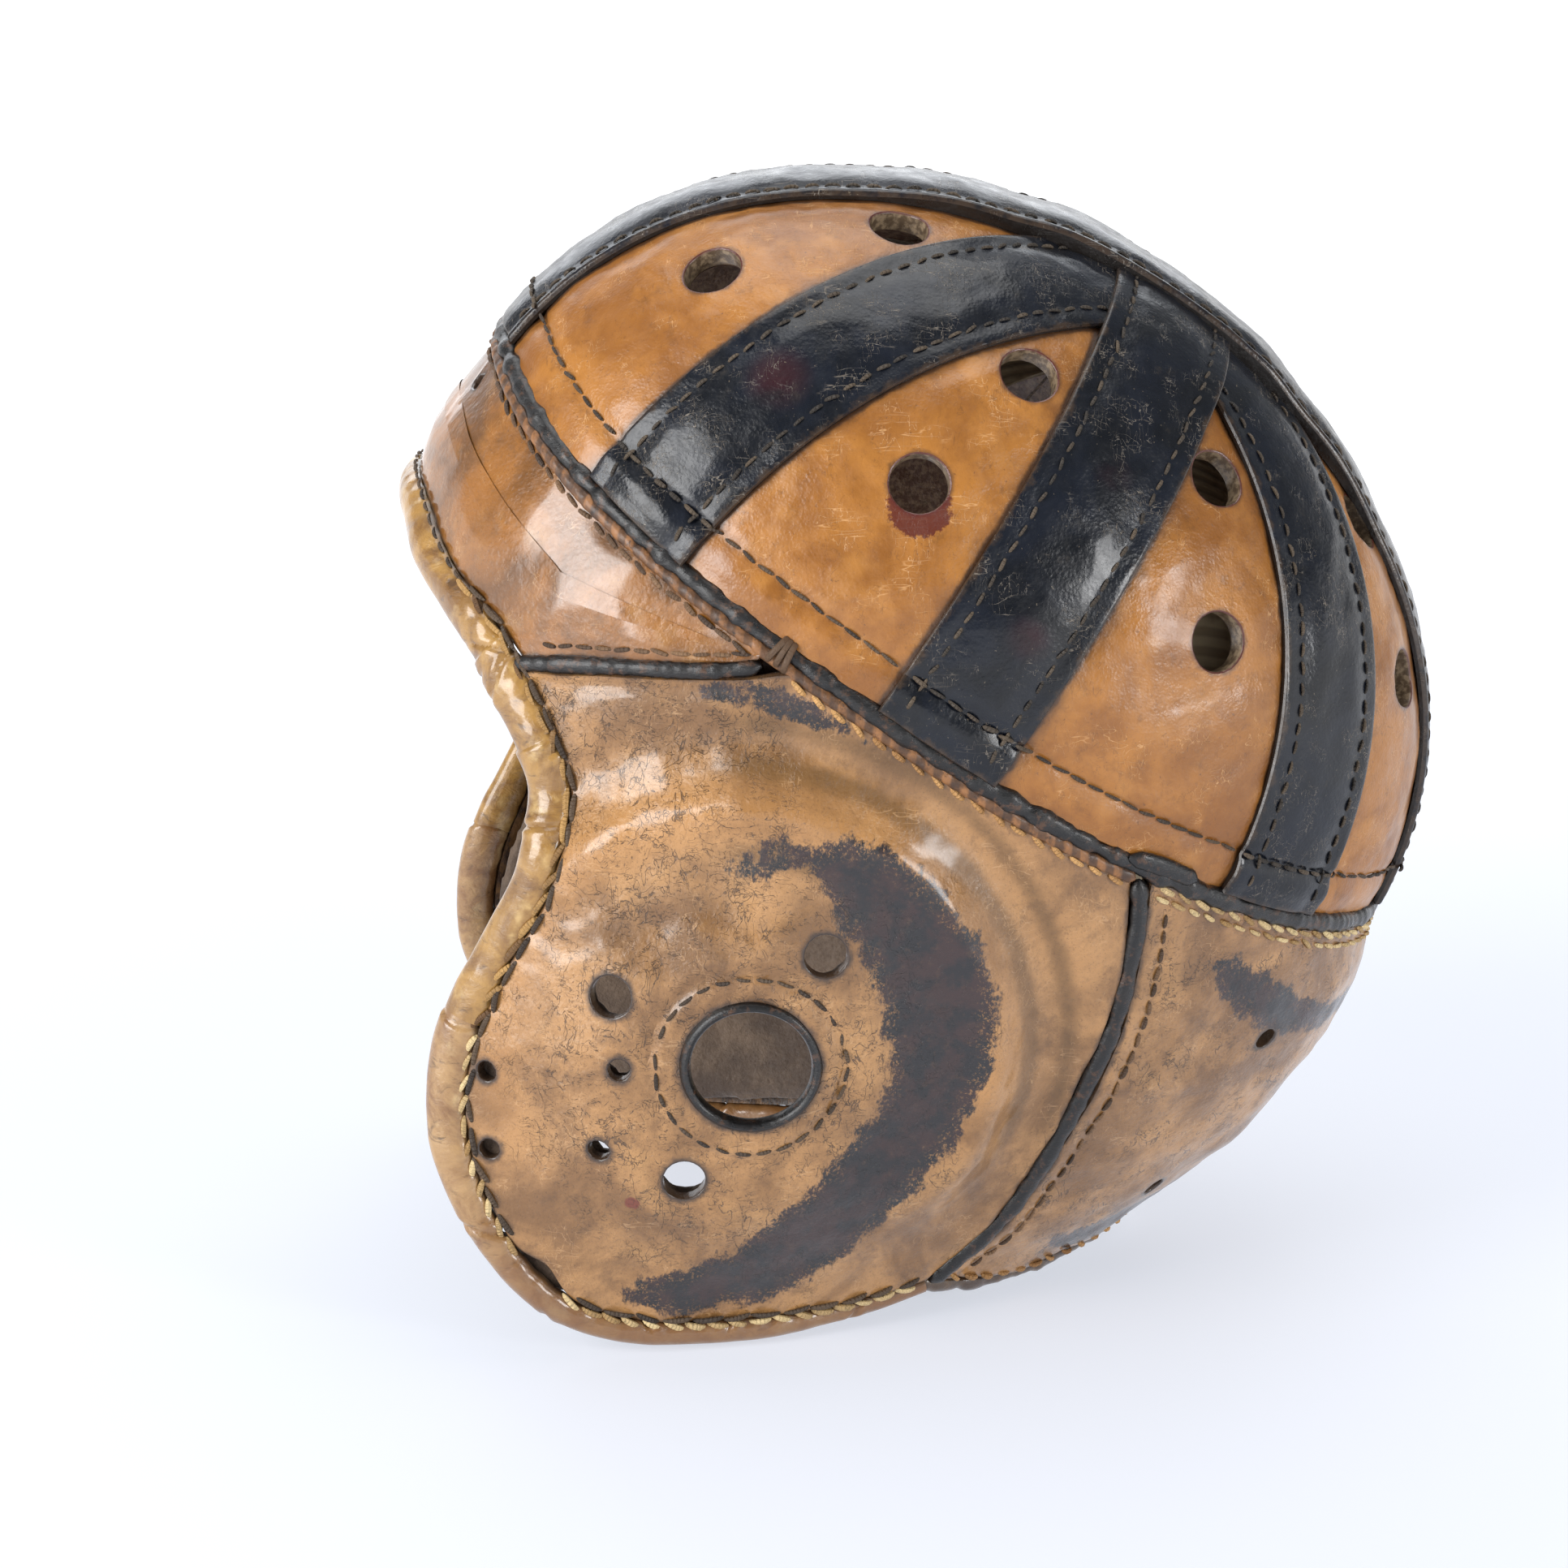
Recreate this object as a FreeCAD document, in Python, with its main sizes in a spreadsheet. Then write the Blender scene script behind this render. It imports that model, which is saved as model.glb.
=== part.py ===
"""Leather football helmet of the 1930s, as a FreeCAD document.

Row frame, millimetres: +Z up, the brow faces -Y, the wearer's left is +X, and the
helmet stands on its ear flaps and neck edge at Z = 0.

Every piece of leather lies on one moulded surface. The crown is a superellipsoid
whose base plane tilts down towards the neck; below it hang the forehead, side and
neck walls. A place on the surface is an angle (0 at the brow, 90 at the wearer's
left, 180 at the nape) and a height above the crown's base plane.
"""
import math
import os

import FreeCAD
import Part
from FreeCAD import Vector

os.makedirs("parts", exist_ok=True)
doc = FreeCAD.newDocument("football_helmet")

# ---------------------------------------------------------------- dimensions
SIZES = [
    ("crown_tilt", 34.6, "slope of the crown's base plane, degrees"),
    ("crown_centre_y", -1.0, "centre of the base plane"),
    ("crown_centre_z", 140.6, "centre of the base plane"),
    ("crown_half_length", 118.6, "base ellipse, brow to nape"),
    ("crown_skew", 1.9, "how much further the nape lies than the brow"),
    ("crown_half_width", 85.0, "base ellipse, side to side"),
    ("crown_rise", 97.6, "height of the crown over its base plane"),
    ("crown_power", 2.13, "fullness of the crown, 2 is an ellipsoid"),
    ("gore_thickness", 2.0, "tan crown leather"),
    ("strap_thickness", 1.5, "black crown leather"),
    ("strap_width", 30.0, "black side straps"),
    ("ridge_strap_width", 34.0, "black strap over the middle"),
    ("ridge_half_width", 12.0, "packing strip under the middle strap"),
    ("shell_thickness", 2.0, "vulcanised fibre shell"),
    ("panel_thickness", 3.0, "forehead, side and neck leather"),
    ("pad_thickness", 5.0, "felt lining"),
    ("welt_radius", 2.2, "round black piping"),
    ("edge_radius", 2.0, "rolled edge of the neck"),
    ("vent_radius", 6.35, "half inch punch"),
    ("ear_hole_radius", 15.6, "hole cut for the ear"),
    ("ear_rim_radius", 1.3, "black bound rim in the ear hole"),
    ("flap_vent_radius", 4.6, "vents in the ear flap"),
    ("flap_hole_radius", 2.4, "small punched holes"),
    ("chin_hole_radius", 2.2, "holes for the chin strap"),
    ("chin_hole_spacing", 17.6, "from one chin strap hole to the other"),
    ("flex_height", 112.6, "line where the ear flap bends"),
    ("flex_gap", 0.8, "play along that line"),
    ("chin_hole_middle", 57.1, "height of the middle of that pair"),
    ("web_width", 22.0, "cotton webbing in the crown"),
    ("lie", 0.05, "air between two layers of leather"),
]
dims = doc.addObject("Spreadsheet::Sheet", "Dimensions")
for row, (alias, value, note) in enumerate(SIZES, start=1):
    dims.set(f"A{row}", alias)
    dims.set(f"B{row}", str(value))
    dims.set(f"C{row}", note)
    dims.setAlias(f"B{row}", alias)
doc.recompute()


def size(alias):
    return float(getattr(dims, alias))


TILT = math.radians(size("crown_tilt"))
CENTRE_Y, CENTRE_Z = size("crown_centre_y"), size("crown_centre_z")
LENGTH, SKEW = size("crown_half_length"), size("crown_skew")
WIDTH, RISE, POWER = size("crown_half_width"), size("crown_rise"), size("crown_power")
PANEL, LIE = size("panel_thickness"), size("lie")

# Half length, skew and half width of the walls at heights below the base plane.
WALL_HEIGHTS = [0, -14, -30, -45, -60, -90, -125, -160]
WALL_LENGTH = [LENGTH, 119.2, 119.0, 116.5, 114.0, 109.5, 101.0, 96.0]
WALL_SKEW = [SKEW, 1.2, 4.0, 8.0, 10.5, 7.0, 7.0, 5.0]
WALL_WIDTH = [WIDTH, 85.2, 84.8, 84.0, 83.0, 80.5, 77.5, 74.0]
# The nape swells out below the crown: distance from the centre, by height.
NAPE_HEIGHTS = [14, 4, -6, -25, -49, -77, -105, -160]
NAPE_REACH = [119.4, 124.2, 127.8, 129.4, 127.6, 119.0, 110.0, 100.0]
# Each ear flap is moulded into a cup around the ear.
EAR_Y, EAR_Z = CENTRE_Y - 38.7, CENTRE_Z - 69.4
CUP_DEPTH, CUP_REACH, CUP_EDGE = 7.0, 62.0, 34.0


# ------------------------------------------------------------ moulded surface
def smooth(value):
    value = min(1.0, max(0.0, value))
    return value * value * (3 - 2 * value)


def profile(heights, values, height):
    """Smooth curve through values given at falling heights."""
    if height >= heights[0]:
        return values[0]
    if height <= heights[-1]:
        return values[-1]
    last = len(heights) - 1
    low = next(k for k in range(last) if height >= heights[k + 1])

    def slope(k):
        if k == 0:
            return 0.0
        ends = (k - 1, k) if k == last else (k - 1, k + 1)
        return (values[ends[1]] - values[ends[0]]) / (heights[ends[1]] - heights[ends[0]])

    step = heights[low + 1] - heights[low]
    t = (height - heights[low]) / step
    return ((2 * t ** 3 - 3 * t * t + 1) * values[low]
            + (t ** 3 - 2 * t * t + t) * step * slope(low)
            + (3 * t * t - 2 * t ** 3) * values[low + 1]
            + (t ** 3 - t * t) * step * slope(low + 1))


def row_frame(along, across, height):
    """From the tilted crown frame to the row frame."""
    return Vector(across,
                  CENTRE_Y + along * math.cos(TILT) + height * math.sin(TILT),
                  CENTRE_Z - along * math.sin(TILT) + height * math.cos(TILT))


def cup(point):
    """How far the ear cup pushes the side wall outwards."""
    away = math.hypot(point.y - EAR_Y, 0.95 * (point.z - EAR_Z))
    push = CUP_DEPTH * smooth((CUP_REACH - away) / CUP_EDGE)
    return math.copysign(push * min(1.0, max(0.0, (abs(point.x) - 40) / 20)), point.x)


def skin_at(angle, height):
    """Point of the outer leather surface."""
    turn = math.radians(angle)
    if height >= 0:
        reach = (1 - min(1.0, height / RISE) ** POWER) ** (1 / POWER)
        length, skew, width = LENGTH, SKEW, WIDTH
    else:
        reach = 1.0
        length = profile(WALL_HEIGHTS, WALL_LENGTH, height)
        skew = profile(WALL_HEIGHTS, WALL_SKEW, height)
        width = profile(WALL_HEIGHTS, WALL_WIDTH, height)
    back = -math.cos(turn) * reach
    along = length * back + skew * back * back
    if -math.cos(turn) > 0.4 and height < 14:
        nape = profile(NAPE_HEIGHTS, NAPE_REACH, height)
        along += smooth((-math.cos(turn) - 0.4) / 0.6) * (nape - (length + skew * reach) * reach)
    point = row_frame(along, width * math.sin(turn) * reach, height)
    if height < 20:
        point.x += cup(point)
    return point


def crown_point(way, out=0.0):
    """Point of the crown in a direction, moved out along its normal."""
    size_of = math.sqrt(sum(part * part for part in way))
    back, side, up = (part / size_of for part in way)
    flat = max(1e-9, math.hypot(back, side))
    scale = (abs(up) ** POWER + flat ** POWER) ** (-1 / POWER)
    back, side, up, flat = back * scale, side * scale, up * scale, flat * scale
    normal = Vector(flat ** (POWER - 2) * side / WIDTH,
                    flat ** (POWER - 2) * back / (LENGTH + 2 * SKEW * back),
                    abs(up) ** (POWER - 1) / RISE)
    normal.normalize()
    return row_frame(LENGTH * back + SKEW * back * back + out * normal.y,
                     WIDTH * side + out * normal.x, RISE * up + out * normal.z)


def crown_way(angle, height):
    """Direction that reaches the crown at an angle and height."""
    reach = (1 - (height / RISE) ** POWER) ** (1 / POWER)
    turn = math.radians(angle)
    return (-math.cos(turn) * reach, math.sin(turn) * reach, height / RISE)


def plan_way(along, across):
    """Direction that reaches the crown over a place in its base plane."""
    back = along / LENGTH
    for _ in range(5):
        back = (along - SKEW * back * back) / LENGTH
    side = across / WIDTH
    return (back, side, (1 - math.hypot(back, side) ** POWER) ** (1 / POWER))


def skin_normal(angle, height):
    if height > 2:
        way = crown_way(angle, height)
        normal = crown_point(way, 1.0) - crown_point(way)
    else:
        normal = ((skin_at(angle + 0.06, height) - skin_at(angle - 0.06, height))
                  .cross(skin_at(angle, height + 0.05) - skin_at(angle, height - 0.05)))
    normal.normalize()
    return normal


def skin(angle, height, out=0.0):
    """Outer surface at a place, moved out along its normal."""
    return skin_at(angle, height) + skin_normal(angle, height) * out


def rim(angle):
    """Height of the crown's lower edge."""
    front = math.cos(math.radians(angle))
    return 2.0 + (9 * front ** 6 if front > 0 else 12 * front * front)


# -------------------------------------------------------------- solid makers
def spline(points, count):
    """Evenly spaced places along a smooth curve through points."""
    curve = Part.BSplineCurve()
    curve.interpolate([Vector(*(tuple(p) + (0,) * (3 - len(p)))) for p in points])
    return [tuple(p) for p in curve.discretize(count)]


def face_on(grid):
    surface = Part.BSplineSurface()
    surface.interpolate(grid)
    return surface.toShape()


def sewn(faces):
    shell = Part.Shell(faces)
    shell.sewShape()
    solid = Part.Solid(shell)
    if solid.Volume < 0:
        solid.reverse()
    return solid


def slab(outer, inner):
    """Solid between two grids of points."""
    top, base = face_on(outer), face_on(inner)
    faces = [top, base]
    for near, far in zip(rims(top), rims(base)):
        faces.append(Part.makeRuledSurface(near, far))
    return sewn(faces)


def rims(face):
    """The four border edges of a surface patch, in a fixed order."""
    surface = face.Surface
    u0, u1, v0, v1 = surface.bounds()
    return [surface.uIso(u0).toShape(), surface.uIso(u1).toShape(),
            surface.vIso(v0).toShape(), surface.vIso(v1).toShape()]


def blend_borders(low, high, left, right, i, j, many_i, many_j):
    """Coons patch: a place inside four borders."""
    u, v = i / (many_i - 1), j / (many_j - 1)
    place = []
    for k in range(len(low[0])):
        place.append((1 - v) * low[i][k] + v * high[i][k]
                     + (1 - u) * left[j][k] + u * right[j][k]
                     - ((1 - u) * (1 - v) * low[0][k] + u * (1 - v) * low[-1][k]
                        + (1 - u) * v * high[0][k] + u * v * high[-1][k]))
    return place


def sheet_between(low, high, left, right, outs, on_crown, lift=None):
    """Leather piece between four borders, from one depth to another.

    low and high run from left to right, left and right run from low to high.
    """
    many_i, many_j = len(low), len(left)
    grids = []
    for out in outs:
        grid = []
        for i in range(many_i):
            line = []
            for j in range(many_j):
                place = blend_borders(low, high, left, right, i, j, many_i, many_j)
                rise = out + (lift(i / (many_i - 1), j / (many_j - 1)) if lift else 0.0)
                line.append(crown_point(place, rise) if on_crown
                            else skin(place[0], place[1], rise))
            grid.append(line)
        grids.append(grid)
    return slab(*grids)


def tube(sections):
    """Solid through ellipses: middle point, wide radius vector, thick one."""
    wires = []
    for centre, wide, thick in sections:
        if wide.Length > thick.Length:
            ring = Part.Ellipse(centre + wide, centre + thick, centre)
        else:
            ring = Part.Ellipse(centre + thick, centre + wide, centre)
        wires.append(Part.Wire(ring.toShape()))
    return Part.makeLoft(wires, True, False)


# ------------------------------------------------------------ document makers
nodes = []


def piece(label, shape):
    """A piece whose computed surface no primitive gives."""
    made = doc.addObject("Part::Feature", label)
    made.Shape = shape
    return made


def name(made, label):
    made.Label = label
    nodes.append((label, made))
    return made


def mirrored(source, label):
    twin = doc.addObject("Part::Mirroring", label)
    twin.Source = source
    twin.Base = Vector(0, 0, 0)
    twin.Normal = Vector(1, 0, 0)
    return name(twin, label)


def joined(half, label):
    """A half and its mirror image as one piece."""
    other = doc.addObject("Part::Mirroring", label + "_other_half")
    other.Source, other.Base, other.Normal = half, Vector(0, 0, 0), Vector(1, 0, 0)
    both = doc.addObject("Part::MultiFuse", label + "_joined")
    both.Shapes = [half, other]
    return both


def drill(label, centre, way, radius, long=30.0):
    """Cylinder whose radius comes from the dimensions."""
    bit = doc.addObject("Part::Cylinder", label)
    bit.setExpression("Radius", f"Dimensions.{radius}")
    bit.Height = long
    turn = FreeCAD.Rotation(Vector(0, 0, 1), way)
    bit.Placement = FreeCAD.Placement(centre - turn.multVec(Vector(0, 0, long / 2)), turn)
    return bit


def drilled(base, bits, label):
    """The piece with every hole taken out of it."""
    if not bits:
        return base
    tool = bits[0]
    if len(bits) > 1:
        tool = doc.addObject("Part::Compound", label + "_bits")
        tool.Links = bits
    cut = doc.addObject("Part::Cut", label)
    cut.Base, cut.Tool = base, tool
    return cut


def piping(label, path, radius):
    """Round cord swept along a smooth path, its radius from the dimensions."""
    curve = Part.BSplineCurve()
    curve.interpolate(path)
    spine = piece(label + "_path", Part.Wire(curve.toShape()))
    ring = doc.addObject("Part::Circle", label + "_section")
    ring.setExpression("Radius", f"Dimensions.{radius}")
    ahead = curve.tangent(curve.FirstParameter)[0]
    ring.Placement = FreeCAD.Placement(curve.value(curve.FirstParameter),
                                       FreeCAD.Rotation(Vector(0, 0, 1), ahead))
    cord = doc.addObject("Part::Sweep", label)
    cord.Sections, cord.Spine = [ring], (spine, ["Edge1"])
    cord.Solid, cord.Frenet = True, False
    return cord


# ---------------------------------------------------------------------- crown
def between_ways(start, end, t):
    """Great circle from one direction to another, and past it."""
    start, end = Vector(*start), Vector(*end)
    start.normalize()
    end.normalize()
    angle = start.getAngle(end)
    way = (start * math.sin((1 - t) * angle) + end * math.sin(t * angle)) / math.sin(angle)
    return (way.x, way.y, way.z)


# Each side strap: its angle on the rim and where its middle line meets the ridge.
STRAPS = {"front": (49.5, (-24, 28)), "middle": (90.5, (0, 14)), "rear": (136, (20, 24))}


def strap_way(strap, t, aside=0.0):
    """Direction to a strap's middle line, t from rim to top, moved sideways."""
    angle, top = STRAPS[strap]
    start, end = crown_way(angle, rim(angle)), plan_way(*top)
    way = between_ways(start, end, t)
    here = crown_point(way)
    ahead = crown_point(between_ways(start, end, t + 1e-3)) - here
    normal = crown_point(way, 1.0) - here
    shift = ahead.cross(normal)
    shift.normalize()
    along = shift.y * math.cos(TILT) - shift.z * math.sin(TILT)
    rise = shift.y * math.sin(TILT) + shift.z * math.cos(TILT)
    flat = math.hypot(way[0], way[1])
    scale = (abs(way[2]) ** POWER + flat ** POWER) ** (-1 / POWER)
    return (way[0] * scale + aside * along / LENGTH,
            way[1] * scale + aside * shift.x / WIDTH,
            way[2] * scale + aside * rise / RISE)


def steps(start, end, count):
    return [start + (end - start) * k / (count - 1) for k in range(count)]


def rim_line(start, end, count):
    return [crown_way(a, rim(a)) for a in steps(start, end, count)]


def straight(start, end, count):
    return [[a + (b - a) * t for a, b in zip(start, end)] for t in steps(0, 1, count)]


def lift_angle(angle):
    """Elevation of the rim as seen from the middle of the base plane."""
    low = crown_way(angle, rim(angle))
    return math.atan2(low[2], math.hypot(low[0], low[1]))


def middle_way(t, across):
    """Direction to the band over the middle, t from brow to nape."""
    turn = lift_angle(0) + (math.pi - lift_angle(180) - lift_angle(0)) * t
    scale = (math.sin(turn) ** POWER + abs(math.cos(turn)) ** POWER) ** (-1 / POWER)
    return (-math.cos(turn) * scale, across / WIDTH, math.sin(turn) * scale)


GORE = size("gore_thickness")
RIDGE = size("ridge_half_width") + 0.2
front_angle = math.degrees(math.asin(RIDGE / WIDTH))
nape_angle = 180 - front_angle
MANY = 13
gore_borders = {
    "front": (rim_line(front_angle, STRAPS["front"][0], MANY),
              [middle_way(t, RIDGE) for t in steps(0, 0.40, MANY)],
              [strap_way("front", t, -0.3) for t in steps(0, 1.04, MANY)]),
    "front_middle": (rim_line(STRAPS["front"][0], STRAPS["middle"][0], MANY),
                     [strap_way("front", t, 0.3) for t in steps(0, 0.97, MANY)],
                     [strap_way("middle", t, -0.3) for t in steps(0, 0.80, MANY)]),
    "rear_middle": (rim_line(STRAPS["middle"][0], STRAPS["rear"][0], MANY),
                    [strap_way("middle", t, 0.3) for t in steps(0, 0.80, MANY)],
                    [strap_way("rear", t, -0.3) for t in steps(0, 0.95, MANY)]),
    "rear": (rim_line(STRAPS["rear"][0], nape_angle, MANY),
             [strap_way("rear", t, 0.3) for t in steps(0, 1.04, MANY)],
             [middle_way(t, RIDGE) for t in steps(1, 0.62, MANY)]),
}
# Half inch vents: angle and height of each.
VENTS = {"front": [(29.2, 50.6), (31.7, 79.9)], "front_middle": [(72.3, 43.7), (72.9, 73.2)],
         "rear_middle": [(112.4, 50.4), (107.1, 77.1)], "rear": [(155.6, 60.6), (156.3, 82.9)]}


def vent_bits(places, label, side=1):
    bits = []
    for count, (angle, height) in enumerate(places, start=1):
        centre, normal = skin(angle, height), skin_normal(angle, height)
        centre.x, normal.x = side * centre.x, side * normal.x
        bits.append(drill(f"{label}_{count}", centre, normal, "vent_radius"))
    return bits


for part_of, (low, left, right) in gore_borders.items():
    low[0], low[-1] = left[0], right[0]
    high = straight(left[-1], right[-1], MANY)
    blank = piece(f"{part_of}_gore_blank",
                  sheet_between(low, high, left, right, (0.0, -GORE), True))
    gore = drilled(blank, vent_bits(VENTS[part_of], f"{part_of}_vent"), f"{part_of}_gore")
    name(gore, f"crown_gore_{part_of}_left")
    mirrored(gore, f"crown_gore_{part_of}_right")


def ridge_strip(width, outs, lift=None):
    """Strip over the middle of the crown from brow to nape."""
    rows, columns = steps(0, 1, 27), steps(-width, width, 5)
    low, high = ([middle_way(t, x) for t in rows] for x in (-width, width))
    left, right = ([middle_way(t, x) for x in columns] for t in (0, 1))
    return sheet_between(low, high, left, right, outs, True, lift)


# Packing strip in the gap between the left and right gores.
name(piece("ridge_packing", ridge_strip(size("ridge_half_width"), (0.0, -GORE))), "ridge_packing")

STRAP = size("strap_thickness")
STRAP_HALF = size("strap_width") / 2


def side_strap(strap, reach, lift=None):
    rows = steps(0, reach, 17)
    low = [strap_way(strap, 0, e) for e in steps(-STRAP_HALF, STRAP_HALF, 7)]
    high = [strap_way(strap, reach, e) for e in steps(-STRAP_HALF, STRAP_HALF, 7)]
    left = [strap_way(strap, t, -STRAP_HALF) for t in rows]
    right = [strap_way(strap, t, STRAP_HALF) for t in rows]
    return sheet_between(low, high, left, right, (LIE + STRAP, LIE), True, lift)


LAYER = STRAP + 3 * LIE          # step up where one strap crosses another
for strap, reach, lift in (("front", 1.04, None),
                           ("middle", 1.10, lambda u, v: LAYER * smooth((v - 0.62) / 0.14)),
                           ("rear", 1.03, None)):
    band = piece(f"{strap}_strap", side_strap(strap, reach, lift))
    name(band, f"{strap}_strap_left")
    mirrored(band, f"{strap}_strap_right")

RIDGE_HALF = size("ridge_strap_width") / 2
name(piece("centre_band", ridge_strip(
    RIDGE_HALF, (LIE + STRAP, LIE),
    lambda u, v: 2 * LAYER * smooth((0.26 - abs(u - 0.5)) / 0.12))), "centre_strap")


def shell_half(side, outs):
    """Half of the fibre shell, open at the rim and at a small hole on top."""
    grids = []
    top = math.radians(86.5)
    for out in outs:
        grid = []
        for angle in steps(0, 180, 25):
            low = crown_way(angle, rim(angle))
            start = math.atan2(low[2], math.hypot(low[0], low[1]))
            turn = math.radians(angle)
            line = []
            for up in steps(start, top, 13):
                point = crown_point((-math.cos(turn) * math.cos(up),
                                     math.sin(turn) * math.cos(up), math.sin(up)), out)
                if angle in (0, 180):
                    point.x = 0.0
                line.append(Vector(side * point.x, point.y, point.z))
            grid.append(line)
        grids.append(grid)
    outer, inner = face_on(grids[0]), face_on(grids[1])
    edges = list(zip(rims(outer), rims(inner)))
    return [outer, inner] + [Part.makeRuledSurface(*edges[k]) for k in (2, 3)]


SHELL_TOP = -GORE - LIE
SHELL_BASE = SHELL_TOP - size("shell_thickness")
shell_blank = piece("crown_shell_blank", sewn(shell_half(1, (SHELL_TOP, SHELL_BASE))
                                              + shell_half(-1, (SHELL_TOP, SHELL_BASE))))
shell_bits = []
for part_of, places in VENTS.items():
    shell_bits += vent_bits(places, f"shell_{part_of}_vent_left", 1)
    shell_bits += vent_bits(places, f"shell_{part_of}_vent_right", -1)
name(drilled(shell_blank, shell_bits, "crown_shell_cut"), "crown_shell")

WELT = size("welt_radius")
WELT_DROP = WELT + 0.15
rim_path = [skin(a, rim(a) - WELT_DROP, -0.6) for a in steps(0, 180, 31)]
rim_path[0].x = rim_path[-1].x = 0.0
name(joined(piping("crown_welt_half", rim_path, "welt_radius"), "crown_welt"), "crown_welt")

# ------------------------------------------------------- walls below the crown
# Lines on the walls, each place an angle and a height, on the wearer's left.
BROW_LINE = [(0, -27), (14, -28.2), (28, -33.2), (42, -36.5), (47.5, -40.2)]
CHEEK_LINE = [(47.5, -40.2), (55, -47.3), (60.5, -57), (63.8, -68), (64.8, -82), (65.2, -98),
              (66.5, -114), (70, -126), (77, -137.5), (85.4, -145.2)]
JAW_LINE = [(85.4, -145.2), (91, -148.2), (97, -148.6), (103, -146), (109, -141),
            (118, -130.5), (127.3, -118.3), (134.2, -107)]
TEMPLE_SEAM = [(47.2, -37.6), (50.7, -33.7), (56, -27.5), (62, -20), (68, -11.5), (70.6, -6.2)]
NECK_SEAM = [(117.8, -1.5), (118.5, -2.6), (122.4, -16), (125.6, -31), (128.6, -48),
             (132.8, -69), (135.9, -91), (135.7, -103)]
TOP_DROP = 2 * WELT + 0.9       # from the crown's edge to the top of the walls
SEAM_HALF = 3.8                 # from a welt's middle to the leather, by height
SEAM_TURN = 1.7                 # the same by angle


def height_on(line, angle):
    """Height of a line at an angle, straight between its places."""
    for (a0, h0), (a1, h1) in zip(line, line[1:]):
        if a0 <= angle <= a1:
            return h0 + (h1 - h0) * (angle - a0) / (a1 - a0)
    return line[-1][1]


def flat_spline(places, count):
    return [place[:2] for place in spline(places, count)]


def wall_top(angle):
    return rim(angle) - TOP_DROP


def brow_edge(angle):
    """Lower edge of the forehead leather."""
    angle = abs(angle)
    if angle <= 45:
        return height_on(BROW_LINE, angle) + 0.8 + 1.6 * smooth((angle - 36) / 9)
    return height_on(TEMPLE_SEAM, max(TEMPLE_SEAM[0][0], angle)) + SEAM_HALF


# Forehead: one piece from temple to temple.
span = steps(-69.5, 69.5, 41)
low = [(a, brow_edge(a)) for a in span]
high = [(a, wall_top(a)) for a in span]
left, right = straight(low[0], high[0], 7), straight(low[-1], high[-1], 7)
name(piece("forehead_leather", sheet_between(low, high, left, right, (0.0, -PANEL), False)),
     "forehead_panel")

# Side leather, from the temple to the neck seam and down to the jaw.
side_top = flat_spline(
    [(47.5, -40.2)] + [(a, h - SEAM_HALF) for a, h in TEMPLE_SEAM[1:5]]
    + [(72.9, -8.4), (76.0, wall_top(76) - 0.9)]
    + [(a, wall_top(a)) for a in (80, 90, 100, 110, 117.0)], 31)
side_rear = flat_spline([(117.0, wall_top(117.0))]
                        + [(a - SEAM_TURN, h) for a, h in NECK_SEAM[2:]] + [(134.2, -107)], 21)
side_front = flat_spline(CHEEK_LINE, 21)
side_base = flat_spline(JAW_LINE, 31)
side_left, side_right = list(reversed(side_front)), list(reversed(side_rear))
side_top[0] = side_left[-1]
side_top[-1] = side_right[-1]
side_base[0], side_base[-1] = side_left[0], side_right[0]


def side_blank(label, outs):
    return piece(label, sheet_between(side_base, side_top, side_left, side_right, outs, False))


side_leather = side_blank("side_leather_blank", (0.0, -PANEL))
FELT_TOP = -PANEL - 3 * LIE
FELT_BASE = FELT_TOP - size("pad_thickness")
side_felt = side_blank("side_felt_blank", (FELT_TOP, FELT_BASE))

# The ear flap is what lies in front of the neck and under the line where it bends.
FLEX = size("flex_height")
REAR_FREE = 9.0


def flap_cutter(label, inset):
    """Prism along X over the ear flap, its top and rear edges moved inwards."""
    rear = [skin_at(a, h) for a, h in side_rear]
    rear = [(p.y - REAR_FREE - inset, p.z) for p in rear if p.z < FLEX - inset - 1]
    outline = [Vector(30, -140, FLEX - inset), Vector(30, -140, -20)]
    outline.append(Vector(30, rear[-1][0] - 8, -20))
    outline += [Vector(30, y, z) for y, z in reversed(rear)]
    outline.append(Vector(30, rear[0][0], FLEX - inset))
    face = Part.Face(Part.makePolygon(outline + [outline[0]]))
    return piece(label, face.extrude(Vector(80, 0, 0)))


GAP = size("flex_gap") / 2
flap_zone = flap_cutter("flap_zone", GAP)
fixed_zone = flap_cutter("fixed_zone", -GAP)
felt_zone = flap_cutter("felt_zone", 5.0)


def common(base, tool, label):
    made = doc.addObject("Part::Common", label)
    made.Base, made.Tool = base, tool
    return made


def cut(base, tool, label):
    made = doc.addObject("Part::Cut", label)
    made.Base, made.Tool = base, tool
    return made


def punch(label, place, radius):
    return drill(label, skin(*place), skin_normal(*place), radius, 40.0)


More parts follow.
